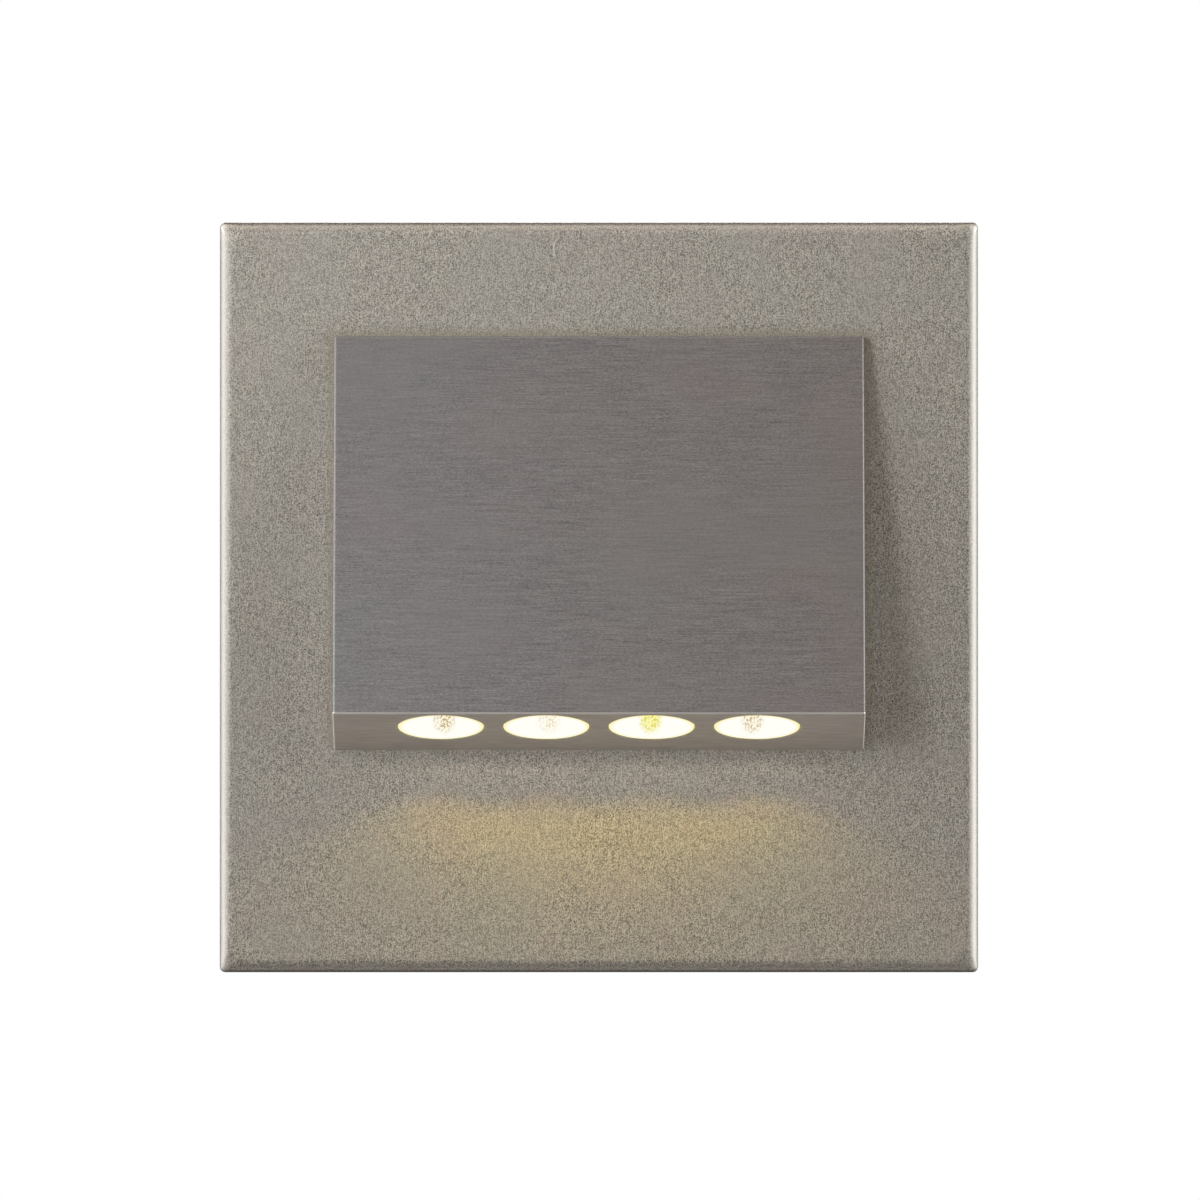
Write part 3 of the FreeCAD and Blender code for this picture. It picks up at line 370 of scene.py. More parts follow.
def foam_gasket():
    """Closed-cell foam: round pores of mixed size in a dull black skin."""
    s = Shader("foam_gasket", Roughness=0.95)
    pore = s.cells((1500, 1500, 1500))
    fine = s.cells((3800, 3800, 3800))
    # Painted shade: darker in the middle of each pore, where it is deepest.
    pore_shade = s.spread(pore, 0.1, 0.42)
    colour = s.blend(pore_shade, (0.012, 0.012, 0.013), (0.07, 0.07, 0.073))
    s.set("Base Color", colour)
    s.bump(pore, 0.8, 0.00030)
    s.bump(fine, 0.4, 0.00008)
    return s.material


def circuit_board(name, mask, copper_tint, roughness):
    """Solder mask over copper: wide tracks show as a lighter shade and stand a little proud."""
    s = Shader(name, Roughness=roughness)
    track = s.cells((330, 330, 330), feature="DISTANCE_TO_EDGE", randomness=0.55)
    gap = s.spread(track, 0.04, 0.07)
    fine = s.noise((2500, 2500, 2500), 2.0, 0.5)
    s.set("Base Color", s.blend(gap, mask, copper_tint))
    s.set("Roughness", s.spread(fine, 0.3, 0.7, roughness - 0.05, roughness + 0.1))
    s.bump(gap, 0.5, 0.00004)
    return s.material


def clear_window():
    """Clear polycarbonate with very light moulding ripple."""
    s = Shader("clear_window", Roughness=0.06, IOR=1.58, Alpha=0.22)
    ripple = s.noise((240, 240, 240), 2.0, 0.5)
    s.set("Base Color", s.blend(s.spread(ripple, 0.3, 0.7), (0.90, 0.92, 0.90), (0.97, 0.97, 0.95)))
    s.set("Roughness", s.spread(ripple, 0.3, 0.7, 0.04, 0.1))
    s.bump(ripple, 0.1, 0.00002)
    return s.material


def mirror_reflector():
    """Metallised plastic with a dimpled bowl."""
    s = Shader("mirror_reflector", Metallic=1.0, Roughness=0.12)
    dimple = s.cells((1500, 1500, 1500))
    haze = s.noise((700, 700, 700), 3.0, 0.6)
    colour = s.blend(s.spread(haze, 0.35, 0.65), (0.80, 0.80, 0.79), (0.90, 0.90, 0.885))
    s.set("Base Color", colour)
    s.set("Roughness", s.spread(haze, 0.3, 0.7, 0.08, 0.2))
    s.bump(dimple, 0.6, 0.0002)
    return s.material


def led_phosphor():
    """Lit phosphor under silicone: yellow, brightest in the middle of each grain."""
    s = Shader("led_phosphor", Roughness=0.3, Emission_Strength=5.0)
    grain = s.cells((5200, 5200, 5200))
    colour = s.blend(s.spread(grain, 0.1, 0.6), (1.0, 0.86, 0.45), (1.0, 0.70, 0.22))
    s.set("Base Color", s.blend(s.spread(grain, 0.1, 0.6), (0.95, 0.80, 0.30), (0.85, 0.62, 0.12)))
    s.set("Emission Color", colour)
    return s.material


def lead_cover(name, dark, light):
    """Silicone wire cover with a soft, slightly dusty skin."""
    s = Shader(name, Roughness=0.5)
    dust = s.noise((1200, 1200, 1200), 3.0, 0.6)
    s.set("Base Color", s.blend(s.spread(dust, 0.4, 0.7), dark, light))
    s.set("Roughness", s.spread(dust, 0.3, 0.7, 0.42, 0.62))
    s.bump(dust, 0.3, 0.00002)
    return s.material


looks = {
    "brushed_face": brushed_face(),
    "brushed_hood": brushed_hood(),
    "zinc_steel": plated("zinc_steel", (0.50, 0.505, 0.52), (0.70, 0.70, 0.68), 0.32),
    "clear_window": clear_window(),
    "black_rubber": black_rubber(),
    "foam_gasket": foam_gasket(),
    "mirror_reflector": mirror_reflector(),
    "led_phosphor": led_phosphor(),
    "white_board": circuit_board("white_board", (0.72, 0.72, 0.70), (0.86, 0.86, 0.83), 0.4),
    "thermal_pad": moulded("thermal_pad", (0.30, 0.39, 0.48), (0.38, 0.48, 0.58), 0.7),
    "bare_aluminium": bare_aluminium(),
    "cast_housing": cast_housing(),
    "green_board": circuit_board("green_board", (0.012, 0.13, 0.05), (0.03, 0.24, 0.09), 0.32),
    "ferrite": moulded("ferrite", (0.045, 0.045, 0.05), (0.085, 0.085, 0.09), 0.55, 2600, 0.00006),
    "capacitor_can": moulded(
        "capacitor_can", (0.05, 0.05, 0.09), (0.10, 0.10, 0.15), 0.35, 700, 0.00002
    ),
    "chip_black": moulded(
        "chip_black", (0.022, 0.022, 0.023), (0.045, 0.045, 0.045), 0.6, 3500, 0.00003
    ),
    "terminal_green": moulded("terminal_green", (0.03, 0.28, 0.12), (0.05, 0.38, 0.17), 0.45),
    "connector_white": moulded("connector_white", (0.78, 0.76, 0.70), (0.88, 0.86, 0.81), 0.4),
    "lead_red": lead_cover("lead_red", (0.45, 0.015, 0.012), (0.58, 0.04, 0.03)),
    "lead_black": lead_cover("lead_black", (0.018, 0.018, 0.018), (0.05, 0.05, 0.05)),
    "nickel_brass": plated("nickel_brass", (0.52, 0.50, 0.455), (0.72, 0.69, 0.63), 0.24),
    "clip_steel": clip_steel(),
    "spring_steel": spring_steel(),
}
for part in record["subparts"]:
    slots = nodes[part["node"]].data.materials
    slots.clear()
    slots.append(looks[part["material_slot"]])


# ---------------------------------------------------------------- mesh helpers
def new_piece(name, body, slot, shape, replaced=()):
    """Makes a mesh piece from a bmesh, gives it its finish and lets it ride on a body."""
    mesh = bpy.data.meshes.new(name)
    bmesh.ops.recalc_face_normals(shape, faces=shape.faces)
    shape.to_mesh(mesh)
    shape.free()
    for face in mesh.polygons:
        face.use_smooth = True
    piece = bpy.data.objects.new(name, mesh)
    bpy.context.scene.collection.objects.link(piece)
    mesh.materials.append(looks[slot])
    if replaced:
        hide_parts(*replaced)
    if body:
        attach(piece, body)
    return piece


def sharp_edges(piece, degrees=35):
    """Keeps edges sharper than an angle crisp while the rest stays smooth."""
    shape = bmesh.new()
    shape.from_mesh(piece.data)
    for edge in shape.edges:
        if len(edge.link_faces) == 2 and edge.calc_face_angle() > math.radians(degrees):
            edge.smooth = False
    shape.to_mesh(piece.data)
    shape.free()


def bridge(shape, one, two):
    """Joins two rings of as many points with four-sided faces."""
    count = len(one)
    for k in range(count):
        j = (k + 1) % count
        shape.faces.new((one[k], one[j], two[j], two[k]))


def swept(shape, path, radius, sides=14):
    """Adds a round tube along points, with closed, slightly domed ends."""
    rings = []
    across = None
    for i, here in enumerate(path):
        ahead = (path[min(i + 1, len(path) - 1)] - path[max(i - 1, 0)]).normalized()
        if across is None:
            across = ahead.orthogonal().normalized()
        across = (across - ahead * across.dot(ahead)).normalized()
        other = ahead.cross(across)
        ends = [(0.0, radius)]
        if i == 0:
            ends = [(-0.25 * radius, 0.55 * radius), (-0.1 * radius, 0.9 * radius), (0.0, radius)]
            ends = [(shift + 0.25 * radius, size) for shift, size in ends]
        if i == len(path) - 1:
            ends = [(-0.25 * radius, radius), (-0.1 * radius, 0.9 * radius), (0.0, 0.55 * radius)]
        for shift, size in ends:
            ring = []
            for k in range(sides):
                turn = 2 * math.pi * k / sides
                offset = across * math.cos(turn) * size + other * math.sin(turn) * size
                ring.append(shape.verts.new(here + ahead * shift + offset))
            rings.append(ring)
    for one, two in zip(rings, rings[1:]):
        bridge(shape, one, two)
    shape.faces.new(rings[0][::-1])
    shape.faces.new(rings[-1])


def profile_ring(shape, outline, path):
    """Adds a closed ring: an outline of (outward, y) points carried along a path.

    Each station of the path is (x, z) and the outward way there, (out_x, out_z).
    """
    rings = []
    for x, z, out_x, out_z in path:
        rings.append([shape.verts.new((x + out_x * o, y, z + out_z * o)) for o, y in outline])
    for one, two in zip(rings, rings[1:] + rings[:1]):
        bridge(shape, one, two)


# ---------------------------------------------------------------- lamp window and lenses
SLOPE = math.radians(15.96)  # the hood's underside, from level
HOLE_LINE = 7.75 * MM  # lamp centres, back from the hood's lip
HOLE_RADIUS = 6.95 * MM
STRIP_FRONT = 0.85 * MM  # front of the window strip, back from the lip
STRIP_MARGIN = 1.6 * MM  # strip behind the holes
STRIP_EASE = 0.15 * MM
LENS_RADIUS = 6.75 * MM
LENS_FACE = 0.985  # share of the radius that the dimpled face covers
LENS_AROUND, LENS_RINGS = 84, 26
LENS_SINK = 0.1 * MM
GLASS_BASE = 1.3 * MM  # window above the hood's outer surface
GLASS_TOP = 2.5 * MM
DIMPLE_PITCH = 0.75 * MM
DIMPLE_DEPTH = 0.035 * MM
PATCH_HALF_WIDTH = 0.28 * LENS_RADIUS  # painted reflection of the lamp in its lens, broken by the dimples
PATCH_HALF_LENGTH = 1.20 * LENS_RADIUS
PATCH_FORWARD = 0.62 * LENS_RADIUS
RIM_START = 0.86 * LENS_RADIUS

face_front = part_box("face_plate")[0].y
hood_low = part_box("hood")[0]
lip = Vector((0, hood_low.y, hood_low.z + (face_front - hood_low.y) * math.tan(SLOPE)))
back_way = Vector((0, math.cos(SLOPE), -math.sin(SLOPE)))
inward = Vector((0, math.sin(SLOPE), math.cos(SLOPE)))
lamp_xs = sorted(sum(corner.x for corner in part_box(f"led_emitter_{n}")) / 2 for n in range(1, 5))


def underside_axes(x, back):
    """Axes on the underside: X across, Y back towards the wall, Z into the hood."""
    turn = Matrix((Vector((1, 0, 0)), back_way, inward)).transposed().to_4x4()
    return Matrix.Translation(lip + back_way * back + Vector((x, 0, 0))) @ turn


def lit_lens(name, patch_x, tint, speck, amount):
    """Lit lens: near white, yellower at its rim, with a painted reflection of the lamp, broken into dots, towards
    the lip.
    """
    s = Shader(name, Roughness=0.16, IOR=1.45, Emission_Strength=0.93)
    axis = s.add("ShaderNodeSeparateXYZ")
    s.link(s.place, axis.inputs[0])
    x, y = axis.outputs["X"], axis.outputs["Y"]
    radius = s.math("SQRT", s.math("ADD", s.math("MULTIPLY", x, x), s.math("MULTIPLY", y, y)))
    far_x = s.math("DIVIDE", s.math("SUBTRACT", x, patch_x * LENS_RADIUS), PATCH_HALF_WIDTH)
    far_y = s.math("DIVIDE", s.math("ADD", y, PATCH_FORWARD), PATCH_HALF_LENGTH)
    far = s.math("ADD", s.math("MULTIPLY", far_x, far_x), s.math("MULTIPLY", far_y, far_y))
    patch = s.spread(far, 0.0, 1.3, 1.0, 0.0, smooth=True)
    dots = s.spread(s.noise((2600, 620, 620), 2.0, 0.7), 0.51, 0.56)
    rim = s.spread(radius, RIM_START, LENS_RADIUS, smooth=True)
    colour = s.blend(rim, (1.0, 0.995, 0.94), (1.0, 0.90, 0.46))
    # Painted reflection of the lamp: a tinted patch, then dots over it.
    colour = s.blend(s.math("MULTIPLY", patch, 0.6 * amount), colour, tint)
    colour = s.blend(s.math("MULTIPLY", s.math("MULTIPLY", patch, dots), amount), colour, speck)
    s.set("Emission Color", colour)
    s.set("Base Color", s.blend(rim, (0.10, 0.10, 0.09), (0.08, 0.075, 0.06)))
    s.bump(s.cells((1400, 1400, 1400)), 0.2, 0.00003)
    return s.material


def lens_shape():
    """Round lens with a pillowed outer face, a rounded rim and a straight side."""
    shape = bmesh.new()
    turns = [2 * math.pi * k / LENS_AROUND for k in range(LENS_AROUND)]
    previous = None
    centre = shape.verts.new((0, 0, LENS_SINK))
    for i in range(1, LENS_RINGS + 1):
        radius = LENS_RADIUS * i / LENS_RINGS * LENS_FACE
        edge = max(0.0, 1 - (radius / LENS_RADIUS) ** 6)
        ring = []
        for turn in turns:
            x, y = radius * math.cos(turn), radius * math.sin(turn)
            wave = math.sin(2 * math.pi * x / DIMPLE_PITCH)
            wave *= math.sin(2 * math.pi * y / DIMPLE_PITCH)
            ring.append(shape.verts.new((x, y, LENS_SINK + DIMPLE_DEPTH * wave * edge)))
        if previous is None:
            for k in range(LENS_AROUND):
                shape.faces.new((centre, ring[(k + 1) % LENS_AROUND], ring[k]))
        else:
            bridge(shape, previous, ring)
        previous = ring
    rim = (
        (LENS_RADIUS * 0.995, LENS_SINK + 0.03 * MM),
        (LENS_RADIUS * 1.0, LENS_SINK + 0.12 * MM),
        (LENS_RADIUS * 1.0, GLASS_BASE),
    )
    for radius, level in rim:
        ring = [
            shape.verts.new((radius * math.cos(turn), radius * math.sin(turn), level))
            for turn in turns
        ]
        bridge(shape, previous, ring)
        previous = ring
    shape.faces.new(previous)
    return shape


def window_strip():
    """The clear strip that carries the lenses, with eased edges."""
    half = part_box("aperture_seal")[1].x
    back = HOLE_LINE + HOLE_RADIUS + STRIP_MARGIN
    shape = bmesh.new()
    bmesh.ops.create_cube(shape, size=1.0)
    middle = Vector((0, (STRIP_FRONT + back) / 2, (GLASS_BASE + GLASS_TOP) / 2))
    size = Vector((2 * half, back - STRIP_FRONT, GLASS_TOP - GLASS_BASE))
    for v in shape.verts:
        v.co = Vector(a * b for a, b in zip(v.co, size)) + middle
    bmesh.ops.bevel(
        shape, geom=shape.edges[:], offset=STRIP_EASE, segments=3, affect="EDGES", profile=0.5
    )
    bmesh.ops.transform(shape, matrix=underside_axes(0, 0), verts=shape.verts)
    new_piece("window_strip", "light_body", "clear_window", shape, ("aperture_window",))


window_strip()
LENS_LOOKS = (  # the painted reflection's place as a share of the radius, its tint, its dots and its strength
    (0.08, (0.98, 0.88, 0.58), (0.42, 0.27, 0.06), 0.90),
    (0.06, (1.0, 0.93, 0.70), (0.66, 0.48, 0.18), 0.55),
    (-0.03, (0.93, 0.90, 0.06), (0.70, 0.62, 0.01), 1.0),
    (-0.12, (0.98, 0.87, 0.58), (0.44, 0.27, 0.08), 0.85),
)
for number, (x, (patch_x, tint, speck, amount)) in enumerate(zip(lamp_xs, LENS_LOOKS), 1):
    lens = new_piece(f"lens_{number}", None, "clear_window", lens_shape())
    lens.data.materials[0] = lit_lens(f"lit_lens_{number}", patch_x, tint, speck, amount)
    lens.matrix_world = underside_axes(x, HOLE_LINE)
    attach(lens, "light_body")


# ---------------------------------------------------------------- springs of the wing clips
SPRING_WIRE = 0.4 * MM
SPRING_COIL = 2.0 * MM
SPRING_TURNS = 4 + 0.25 + 25 / 360  # the last 25 degrees are the wing's lean
SPRING_PITCH = 1.3 * MM
BASE_LEG = 6.0 * MM
ARM_LEG = 6.5 * MM
COIL_STEPS, LEG_STEPS = 220, 12


def record_pin(side):
    """The hinge's place, from the record."""
    return next(j for j in frame["joints"] if j["child"] == f"{side}_wing")["pos_m"]


def spring(side, sign):
    """Torsion spring with rounded wire ends."""
    node = f"clip_spring_{side}"
    low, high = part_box(node)
    pin_x = sign * (abs(low.x if sign > 0 else high.x) + SPRING_COIL + SPRING_WIRE)
    pin = Vector((pin_x, record_pin(side)[1], (low.z + high.z) / 2))
    rise = SPRING_PITCH * SPRING_TURNS

    def coil(turn):
        angle = math.pi * (1 - 2 * turn)
        x = SPRING_COIL * math.cos(angle)
        return Vector((sign * x, SPRING_COIL * math.sin(angle), SPRING_PITCH * turn - rise / 2))

    line = [coil(SPRING_TURNS * i / COIL_STEPS) for i in range(COIL_STEPS + 1)]
    start_way = (line[0] - line[1]).normalized()
    end_way = (line[-1] - line[-2]).normalized()
    base = [line[0] + start_way * BASE_LEG * k / LEG_STEPS for k in range(LEG_STEPS, 0, -1)]
    arm = [line[-1] + end_way * ARM_LEG * k / LEG_STEPS for k in range(1, LEG_STEPS + 1)]
    shape = bmesh.new()
    swept(shape, [pin + p for p in base + line + arm], SPRING_WIRE)
    piece = new_piece(f"wire_spring_{side}", None, "spring_steel", shape, (node,))
    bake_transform(piece)


for side, sign in (("right", 1), ("left", -1)):
    spring(side, sign)


# ---------------------------------------------------------------- face with softly rolled edges
PLATE_SHEET = 1.2 * MM
PLATE_ROLL = 2.0 * MM
PLATE_CORNER = 0.9 * MM
PLATE_INNER_CORNER = 0.4 * MM
CORNER_GROWTH = 0.9  # how fast the corners round off towards the front
FLAT_START = 0.3 * MM  # inside the roll, where the front is flat
BACK_EASE = 0.15 * MM
INNER_STEPS, OUTER_STEPS = 8, 18  # of the roll's quarter turn
WINDOW_HALF = 32.5 * MM  # opening behind the hood for the lamp board and its bracket
WINDOW_LOW, WINDOW_TOP = -21.573 * MM, -5.899 * MM
WINDOW_CORNER = 2.0 * MM


def rounded_square(half_x, half_z, corner, y, middle_z=0.0, steps=10, per_side=40):
    """Points round a rectangle with rounded corners, the same count for any size."""
    points = []
    signs = ((1, -1), (1, 1), (-1, 1), (-1, -1))
    for quarter, (sx, sz) in enumerate(signs):
        centre = Vector((sx * (half_x - corner), y, middle_z + sz * (half_z - corner)))
        first = math.radians(-90 + 90 * quarter)
        for k in range(steps + 1):
            turn = first + math.radians(90) * k / steps
            points.append(centre + corner * Vector((math.cos(turn), 0, math.sin(turn))))
        nx, nz = signs[(quarter + 1) % 4]
        ahead = Vector((nx * (half_x - corner), y, middle_z + nz * (half_z - corner)))
        turn = first + math.radians(90)
        ahead += corner * Vector((math.cos(turn), 0, math.sin(turn)))
        start = points[-1]
        points += [start.lerp(ahead, k / per_side) for k in range(1, per_side)]
    return points


def face_shell():
    """Folded sheet, hollow at the back, with rolled edges and the window behind the hood."""
    low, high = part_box("face_plate")
    back = low.y + PLATE_SHEET
    bend = PLATE_ROLL - PLATE_SHEET
    inside = [(PLATE_ROLL + FLAT_START, back)]
    for k in range(INNER_STEPS + 1):
        turn = math.radians(90 * k / INNER_STEPS)
        inset = PLATE_SHEET + bend * (1 - math.sin(turn))
        inside.append((inset, back + bend * (1 - math.cos(turn))))
    inside.append((PLATE_SHEET, high.y))
    outside = [(BACK_EASE, high.y), (0.0, high.y - BACK_EASE)]
    for k in range(OUTER_STEPS + 1):
        turn = math.radians(90 * k / OUTER_STEPS)
        inset = PLATE_ROLL * (1 - math.cos(turn))
        outside.append((inset, low.y + PLATE_ROLL * (1 - math.sin(turn))))
    outside.append((PLATE_ROLL + FLAT_START, low.y))
    stations = [
        (inset, y, PLATE_INNER_CORNER + CORNER_GROWTH * (inset - PLATE_SHEET))
        for inset, y in inside
    ]
    stations += [(inset, y, PLATE_CORNER + CORNER_GROWTH * inset) for inset, y in outside]
    outlines = [
        rounded_square(high.x - inset, high.z - inset, corner, y) for inset, y, corner in stations
    ]
    half_height, middle = (WINDOW_TOP - WINDOW_LOW) / 2, (WINDOW_TOP + WINDOW_LOW) / 2
    for y in (low.y, back):
        outlines.append(rounded_square(WINDOW_HALF, half_height, WINDOW_CORNER, y, middle))
    shape = bmesh.new()
    rings = [[shape.verts.new(point) for point in outline] for outline in outlines]
    for one, two in zip(rings, rings[1:] + rings[:1]):
        bridge(shape, one, two)
    piece = new_piece("face_shell", "light_body", "brushed_face", shape, ("face_plate",))
    sharp_edges(piece)


face_shell()


# ---------------------------------------------------------------- foam ring against the wall
FOAM_WIDTH = 5.0 * MM
FOAM_ROUND = 1.1 * MM
FOAM_PORE = 0.07 * MM
FOAM_STEPS = 110  # stations along each side
FOAM_POINTS = 0.55 * MM  # most between points of its section
COARSE_PORES, FINE_PORES = 900, 2100  # per metre


def rounded(corners, radii, steps=5):
    """Outline through corners, each rounded by its radius, in the corners' own order."""
    outline = []
    for i, (corner, radius) in enumerate(zip(corners, radii)):
        here = Vector(corner)
        before = (Vector(corners[i - 1]) - here).normalized()
        after = (Vector(corners[(i + 1) % len(corners)]) - here).normalized()
        for k in range(steps + 1):
            t = k / steps
            start, end = here + before * radius, here + after * radius
            outline.append(start * (1 - t) ** 2 + here * 2 * t * (1 - t) + end * t ** 2)
    return outline


def divided(outline, longest):
    """The same outline with its long runs cut into shorter ones."""
    points = []
    for i, here in enumerate(outline):
        ahead = outline[(i + 1) % len(outline)]
        count = max(1, math.ceil((ahead - here).length / longest))
        points += [here.lerp(ahead, k / count) for k in range(count)]
    return points


def foam_ring():
    """Die-cut foam ring with eased edges and open pores."""
    low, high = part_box("wall_gasket")
    near, far = -FOAM_WIDTH, 0.0
    corners = ((near, low.y), (far, low.y), (far, high.y), (near, high.y))
    outline = divided(rounded(corners, (FOAM_ROUND,) * 4), FOAM_POINTS)
    ways = [-1 + 2 * k / FOAM_STEPS for k in range(FOAM_STEPS)]
    path = [(high.x, t * high.z, 1, t) for t in ways]
    path += [(-t * high.x, high.z, -t, 1) for t in ways]
    path += [(-high.x, -t * high.z, -1, -t) for t in ways]
    path += [(t * high.x, -high.z, t, -1) for t in ways]
    shape = bmesh.new()
    profile_ring(shape, outline, path)
    bmesh.ops.recalc_face_normals(shape, faces=shape.faces)
    shape.normal_update()
    moves = []
    for v in shape.verts:
        pore = noise.noise(v.co * COARSE_PORES) + 0.6 * noise.noise(v.co * FINE_PORES)
        moves.append(v.normal * -FOAM_PORE * max(0.0, pore) * 2)
    for v, move in zip(shape.verts, moves):
        v.co += move
    new_piece("foam_ring", "light_body", "foam_gasket", shape, ("wall_gasket",))


foam_ring()


# ---------------------------------------------------------------- soft tips of the wings
ARM_LEAN = math.radians(25)
TIP_START, TIP_END = 9.4 * MM, 14.0 * MM  # along the wing from its pin
TIP_BACK, TIP_FRONT = 1.9 * MM, -2.2 * MM
TIP_NECK = -0.2 * MM  # front of the part over the blade
TIP_HOOK_START = 11.9 * MM
TIP_HALF_WIDTH = 5.8 * MM
TIP_ROUND = 0.55 * MM
TIP_CORNERS = (0.0002, 0.0004, 0.0006, 0.0007, 0.0009, 0.0003)  # radii round the section
TIP_POINTS = 0.4 * MM  # most between points of its section
TIP_STEPS = 96
RIB_START = 0.6  # millimetres of plain cap before the ribs grow in
RIB_PITCH = 1.45 * MM
RIB_DEPTH = 0.2 * MM


def soft_tip(side, sign):
    """Ribbed rubber cap over a wing's hooked tip."""
    pin = Vector((sign * abs(record_pin(side)[0]), record_pin(side)[1], 0))
    corners = (
        (TIP_START, TIP_NECK), (TIP_HOOK_START, TIP_NECK), (TIP_HOOK_START, TIP_FRONT),
        (TIP_END, TIP_FRONT), (TIP_END, TIP_BACK), (TIP_START, TIP_BACK),
    )
    outline = divided(rounded(corners, TIP_CORNERS), TIP_POINTS)
    count = len(outline)
    inwards = []
    for i in range(count):
        run = (outline[(i + 1) % count] - outline[i - 1]).normalized()
        inwards.append(Vector((-run.y, run.x)))
    shape = bmesh.new()
    rings = []
    for step in range(TIP_STEPS + 1):
        z = TIP_HALF_WIDTH * (2 * step / TIP_STEPS - 1)
        edge = max(0.0, TIP_ROUND - (TIP_HALF_WIDTH - abs(z)))
        ease = TIP_ROUND - math.sqrt(max(0.0, TIP_ROUND ** 2 - edge ** 2))
        rib = RIB_DEPTH * max(0.0, math.cos(2 * math.pi * z / RIB_PITCH)) ** 2
        ring = []
        for point, inward_way in zip(outline, inwards):
            ribbed = min(1.0, max(0.0, (point.x - TIP_START) / MM - RIB_START))
            shifted = point + inward_way * max(ease, rib * ribbed)
            x = shifted.x * math.cos(ARM_LEAN) + shifted.y * math.sin(ARM_LEAN)
            y = shifted.y * math.cos(ARM_LEAN) - shifted.x * math.sin(ARM_LEAN)
            ring.append(shape.verts.new(pin + Vector((sign * x, y, z))))
        rings.append(ring)
    for one, two in zip(rings, rings[1:]):
        bridge(shape, one, two)
    shape.faces.new(rings[0])
    shape.faces.new(rings[-1])
    new_piece(f"soft_tip_{side}", f"{side}_wing", "black_rubber", shape, (f"clip_sleeve_{side}",))


for side, sign in (("right", 1), ("left", -1)):
    soft_tip(side, sign)


# ---------------------------------------------------------------- cap of the cable gland
CAP_FLAT = 9.5 * MM  # half the width across flats
CAP_STUB = 7.45 * MM
CAP_MOUTH = 4.5 * MM
CAP_RIM = 6.6 * MM  # where the dome turns into the mouth
CAP_AROUND, DOME_STEPS = 180, 14


def gland_dome():
    """Cap nut: a chamfered hexagon that runs into a dome with a rounded mouth."""
    low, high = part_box("gland_cap")
    corner, centre_z = high.x, (low.z + high.z) / 2
    length = high.y - low.y
    turned = [  # share of the length, and radius
        (0.0, corner - 0.9 * MM), (0.03, corner - 0.45 * MM),
        (0.08, corner - 0.1 * MM), (0.12, corner),
    ]
    turned += [(0.12 + 0.48 * k / 6, corner) for k in range(1, 7)]
    for k in range(1, DOME_STEPS + 1):
        t = math.radians(90 * k / DOME_STEPS)
        turned.append((0.60 + 0.39 * math.sin(t), CAP_RIM + (corner - CAP_RIM) * math.cos(t)))
    turned += [
        (1.0, CAP_RIM - 0.35 * MM), (1.0, CAP_MOUTH + 0.5 * MM),
        (0.985, CAP_MOUTH + 0.15 * MM), (0.96, CAP_MOUTH),
        (0.70, CAP_MOUTH), (0.70, CAP_STUB), (0.0, CAP_STUB),
    ]
    shape = bmesh.new()
    rings = []
    for along, radius in turned:
        ring = []
        for k in range(CAP_AROUND):
            turn = 2 * math.pi * k / CAP_AROUND
            flat = CAP_FLAT / math.cos(turn % (math.pi / 3) - math.pi / 6)
            reach = min(radius, flat) if radius > CAP_STUB else radius
            x, z = reach * math.cos(turn), reach * math.sin(turn)
            ring.append(shape.verts.new((x, low.y + along * length, centre_z + z)))
        rings.append(ring)
    for one, two in zip(rings, rings[1:] + rings[:1]):
        bridge(shape, one, two)
    piece = new_piece("gland_dome", "light_body", "nickel_brass", shape, ("gland_cap",))
    sharp_edges(piece)


gland_dome()


# ---------------------------------------------------------------- camera
def look_at(camera, place, target):
    camera.location = place
    camera.rotation_mode = "QUATERNION"
    camera.rotation_quaternion = (target - place).to_track_quat("-Z", "Y")


CAMERA_DISTANCE = 3.0
CAMERA_DROP = math.radians(0.7)
SENSOR_WIDTH = 36.0
VIEW_WIDTH = 0.1898  # what the picture's width covers at the front of the face
aim = Vector((0.00017, face_front, -0.00047))
optics = bpy.data.cameras.new("camera")
optics.sensor_width = SENSOR_WIDTH
optics.lens = SENSOR_WIDTH * CAMERA_DISTANCE / VIEW_WIDTH
optics.clip_start, optics.clip_end = 0.05, 100.0
camera = bpy.data.objects.new("camera", optics)
bpy.context.scene.collection.objects.link(camera)
away = Vector((0, -math.cos(CAMERA_DROP), -math.sin(CAMERA_DROP)))
look_at(camera, aim + away * CAMERA_DISTANCE, aim)
bpy.context.scene.camera = camera


# ---------------------------------------------------------------- light
LAMP = {"power": 0.038, "colour": (1.0, 0.70, 0.0), "degrees": 140, "fade": 0.42}
SPILL = {"power": 0.0016, "colour": (1.0, 0.88, 0.70), "degrees": 176, "fade": 0.15}
LAMP_OUT = 0.6 * MM  # place of a lamp's light, outside the hood's underside
LAMP_SIZE = 1.0 * MM
SIDE_PEAK = 1.6  # brightest of the sideways stops
TOP_PEAK = 7.2  # brightest of the upward stops
WARM = (1.0, 0.89, 0.80)
SIDE_STOPS = (
    (-1.0, 1.35), (-0.95, 1.25), (-0.84, 0.98), (-0.68, 0.60), (-0.40, 0.27), (0.0, 0.155),
    (0.31, 0.155), (0.60, 0.34), (0.84, 0.95), (0.95, 1.4), (1.0, 1.6),
)
TOP_STOPS = (
    (-1.0, 0.35), (-0.95, 0.55), (-0.82, 1.2), (-0.50, 1.5), (-0.15, 1.1), (0.0, 1.0),
    (0.17, 1.5), (0.38, 2.3), (0.59, 2.55), (0.73, 3.3), (0.93, 6.6), (1.0, 7.2),
)
REAR_STOPS = ((-1.0, 1.0), (0.0, 1.0), (0.25, 0.85), (0.5, 0.40), (0.85, 0.18), (1.0, 0.18))


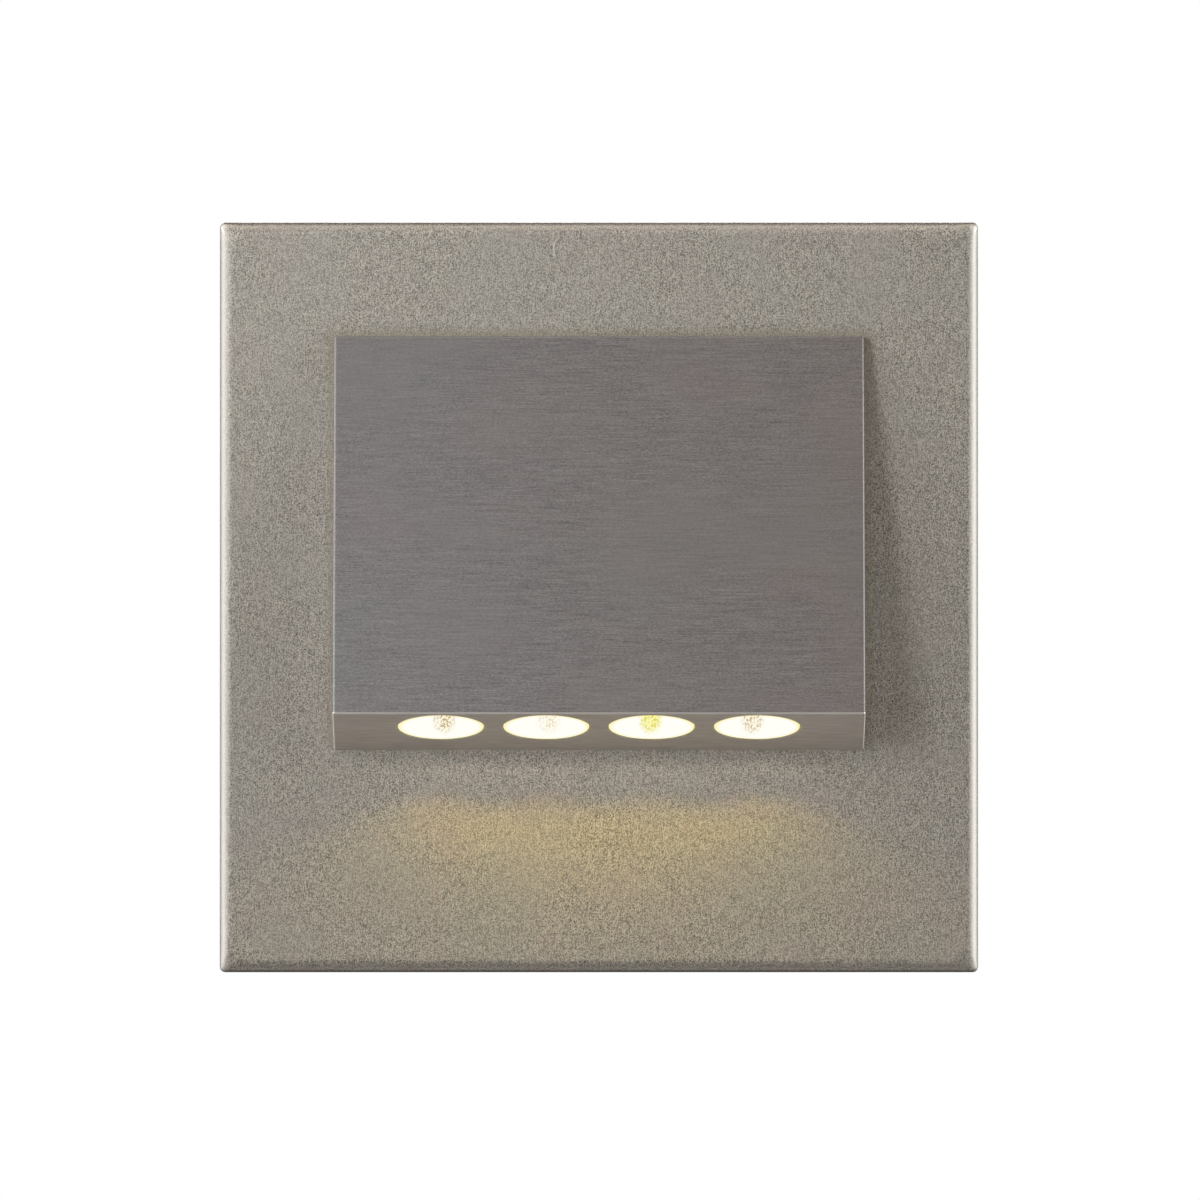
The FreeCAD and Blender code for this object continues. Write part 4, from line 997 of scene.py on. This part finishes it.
def soft_box(name, place, size, power, colour=(1.0, 1.0, 1.0), spread=180):
    data = bpy.data.lights.new(name, "AREA")
    data.shape = "RECTANGLE"
    data.size, data.size_y = size
    data.energy = power
    data.color = colour
    data.spread = math.radians(spread)
    box = bpy.data.objects.new(name, data)
    bpy.context.scene.collection.objects.link(box)
    box.visible_camera = False
    look_at(box, Vector(place), Vector((0, 0, 0)))


soft_box("key", (-0.235, -0.53, 0.13), (0.15, 0.20), 0.55, (0.97, 1.0, 1.02))
soft_box("back_left", (-0.20, 1.3, 0.45), (0.7, 0.7), 1.2, spread=70)
soft_box("back_right", (0.22, 1.3, 0.20), (0.6, 0.7), 0.8, spread=70)


def lamp_light(name, x, power, colour, degrees, fade):
    """Light of one lamp from its lens's face, out of the hood."""
    data = bpy.data.lights.new(name, "SPOT")
    data.energy = power
    data.color = colour
    data.spot_size = math.radians(degrees)
    data.spot_blend = fade
    data.shadow_soft_size = LAMP_SIZE
    lamp = bpy.data.objects.new(name, data)
    bpy.context.scene.collection.objects.link(lamp)
    place = underside_axes(x, HOLE_LINE) @ Vector((0, 0, -LAMP_OUT))
    look_at(lamp, place, place - inward)


for number, x in enumerate(lamp_xs, 1):
    lamp_light(f"lamp_{number}", x, **LAMP)
    lamp_light(f"spill_{number}", x, **SPILL)

world = bpy.data.worlds.new("studio")
bpy.context.scene.world = world
world.use_nodes = True
world.node_tree.nodes.clear()
w = Nodes(world.node_tree)
split = w.add("ShaderNodeSeparateXYZ")
w.link(w.add("ShaderNodeTexCoord").outputs["Generated"], split.inputs[0])
across, depth, height = (split.outputs[axis] for axis in "XYZ")


def toned(stops, peak, warmth):
    """Stops of brightness as colours within 0 to 1: warm at the front, neutral to the sides."""
    tones = []
    for at, level in stops:
        share = warmth * max(0.0, 1 - abs(at) / 0.8)
        tones.append((at, tuple(level / peak * (1 + (tone - 1) * share) for tone in WARM)))
    return tones


sideways = w.ramp(across, toned(SIDE_STOPS, SIDE_PEAK, 1.0))
upward = w.ramp(height, toned(TOP_STOPS, TOP_PEAK, 0.0))
rearward = w.ramp(depth, REAR_STOPS)
over_back = w.math("MULTIPLY", w.spread(height, 0.25, 0.75), w.spread(depth, 0.05, 0.40))
room = w.blend(1.0, w.blend(1.0, sideways, upward, "MULTIPLY"), rearward, "MULTIPLY")
room = w.blend(w.math("MULTIPLY", over_back, 0.7), room, (0.0, 0.0, 0.0))
studio = w.add("ShaderNodeBackground")
w.link(room, studio.inputs["Color"])
studio.inputs["Strength"].default_value = SIDE_PEAK * TOP_PEAK
white = w.add("ShaderNodeBackground")
white.inputs["Color"].default_value = (1.0, 1.0, 1.0, 1.0)
rays = w.add("ShaderNodeLightPath").outputs
mirrored = w.math("MAXIMUM", rays["Is Glossy Ray"], rays["Is Transmission Ray"])
at_backdrop = w.math("MULTIPLY", mirrored, w.spread(depth, 0.965, 0.985))
mix = w.add("ShaderNodeMixShader")
w.link(w.math("MAXIMUM", rays["Is Camera Ray"], at_backdrop), mix.inputs["Fac"])
w.link(studio.outputs[0], mix.inputs[1])
w.link(white.outputs[0], mix.inputs[2])
w.link(mix.outputs[0], w.add("ShaderNodeOutputWorld").inputs["Surface"])
bpy.context.scene.view_settings.view_transform = "Standard"


# ---------------------------------------------------------------- floor
FLOOR_RADIUS = 0.35
FLOOR_DROP = 0.8  # below the part
floor_mesh = bpy.data.meshes.new("floor")
shape = bmesh.new()
bmesh.ops.create_circle(shape, cap_ends=True, segments=96, radius=FLOOR_RADIUS)
shape.to_mesh(floor_mesh)
shape.free()
floor = bpy.data.objects.new("floor", floor_mesh)
bpy.context.scene.collection.objects.link(floor)
floor.location = (0, 0.02, cad_low.z - FLOOR_DROP)
paper = Shader("paper", Roughness=0.9)
fibre = paper.noise((90, 90, 90), 3.0, 0.6)
paper.set("Base Color", paper.blend(fibre, (0.74, 0.74, 0.74), (0.78, 0.78, 0.78)))
reach = paper.add("ShaderNodeVectorMath", operation="LENGTH")
paper.link(paper.place, reach.inputs[0])
paper.set("Alpha", paper.spread(reach.outputs["Value"], 0.15, 0.33, 1.0, 0.0, smooth=True))
floor_mesh.materials.append(paper.material)
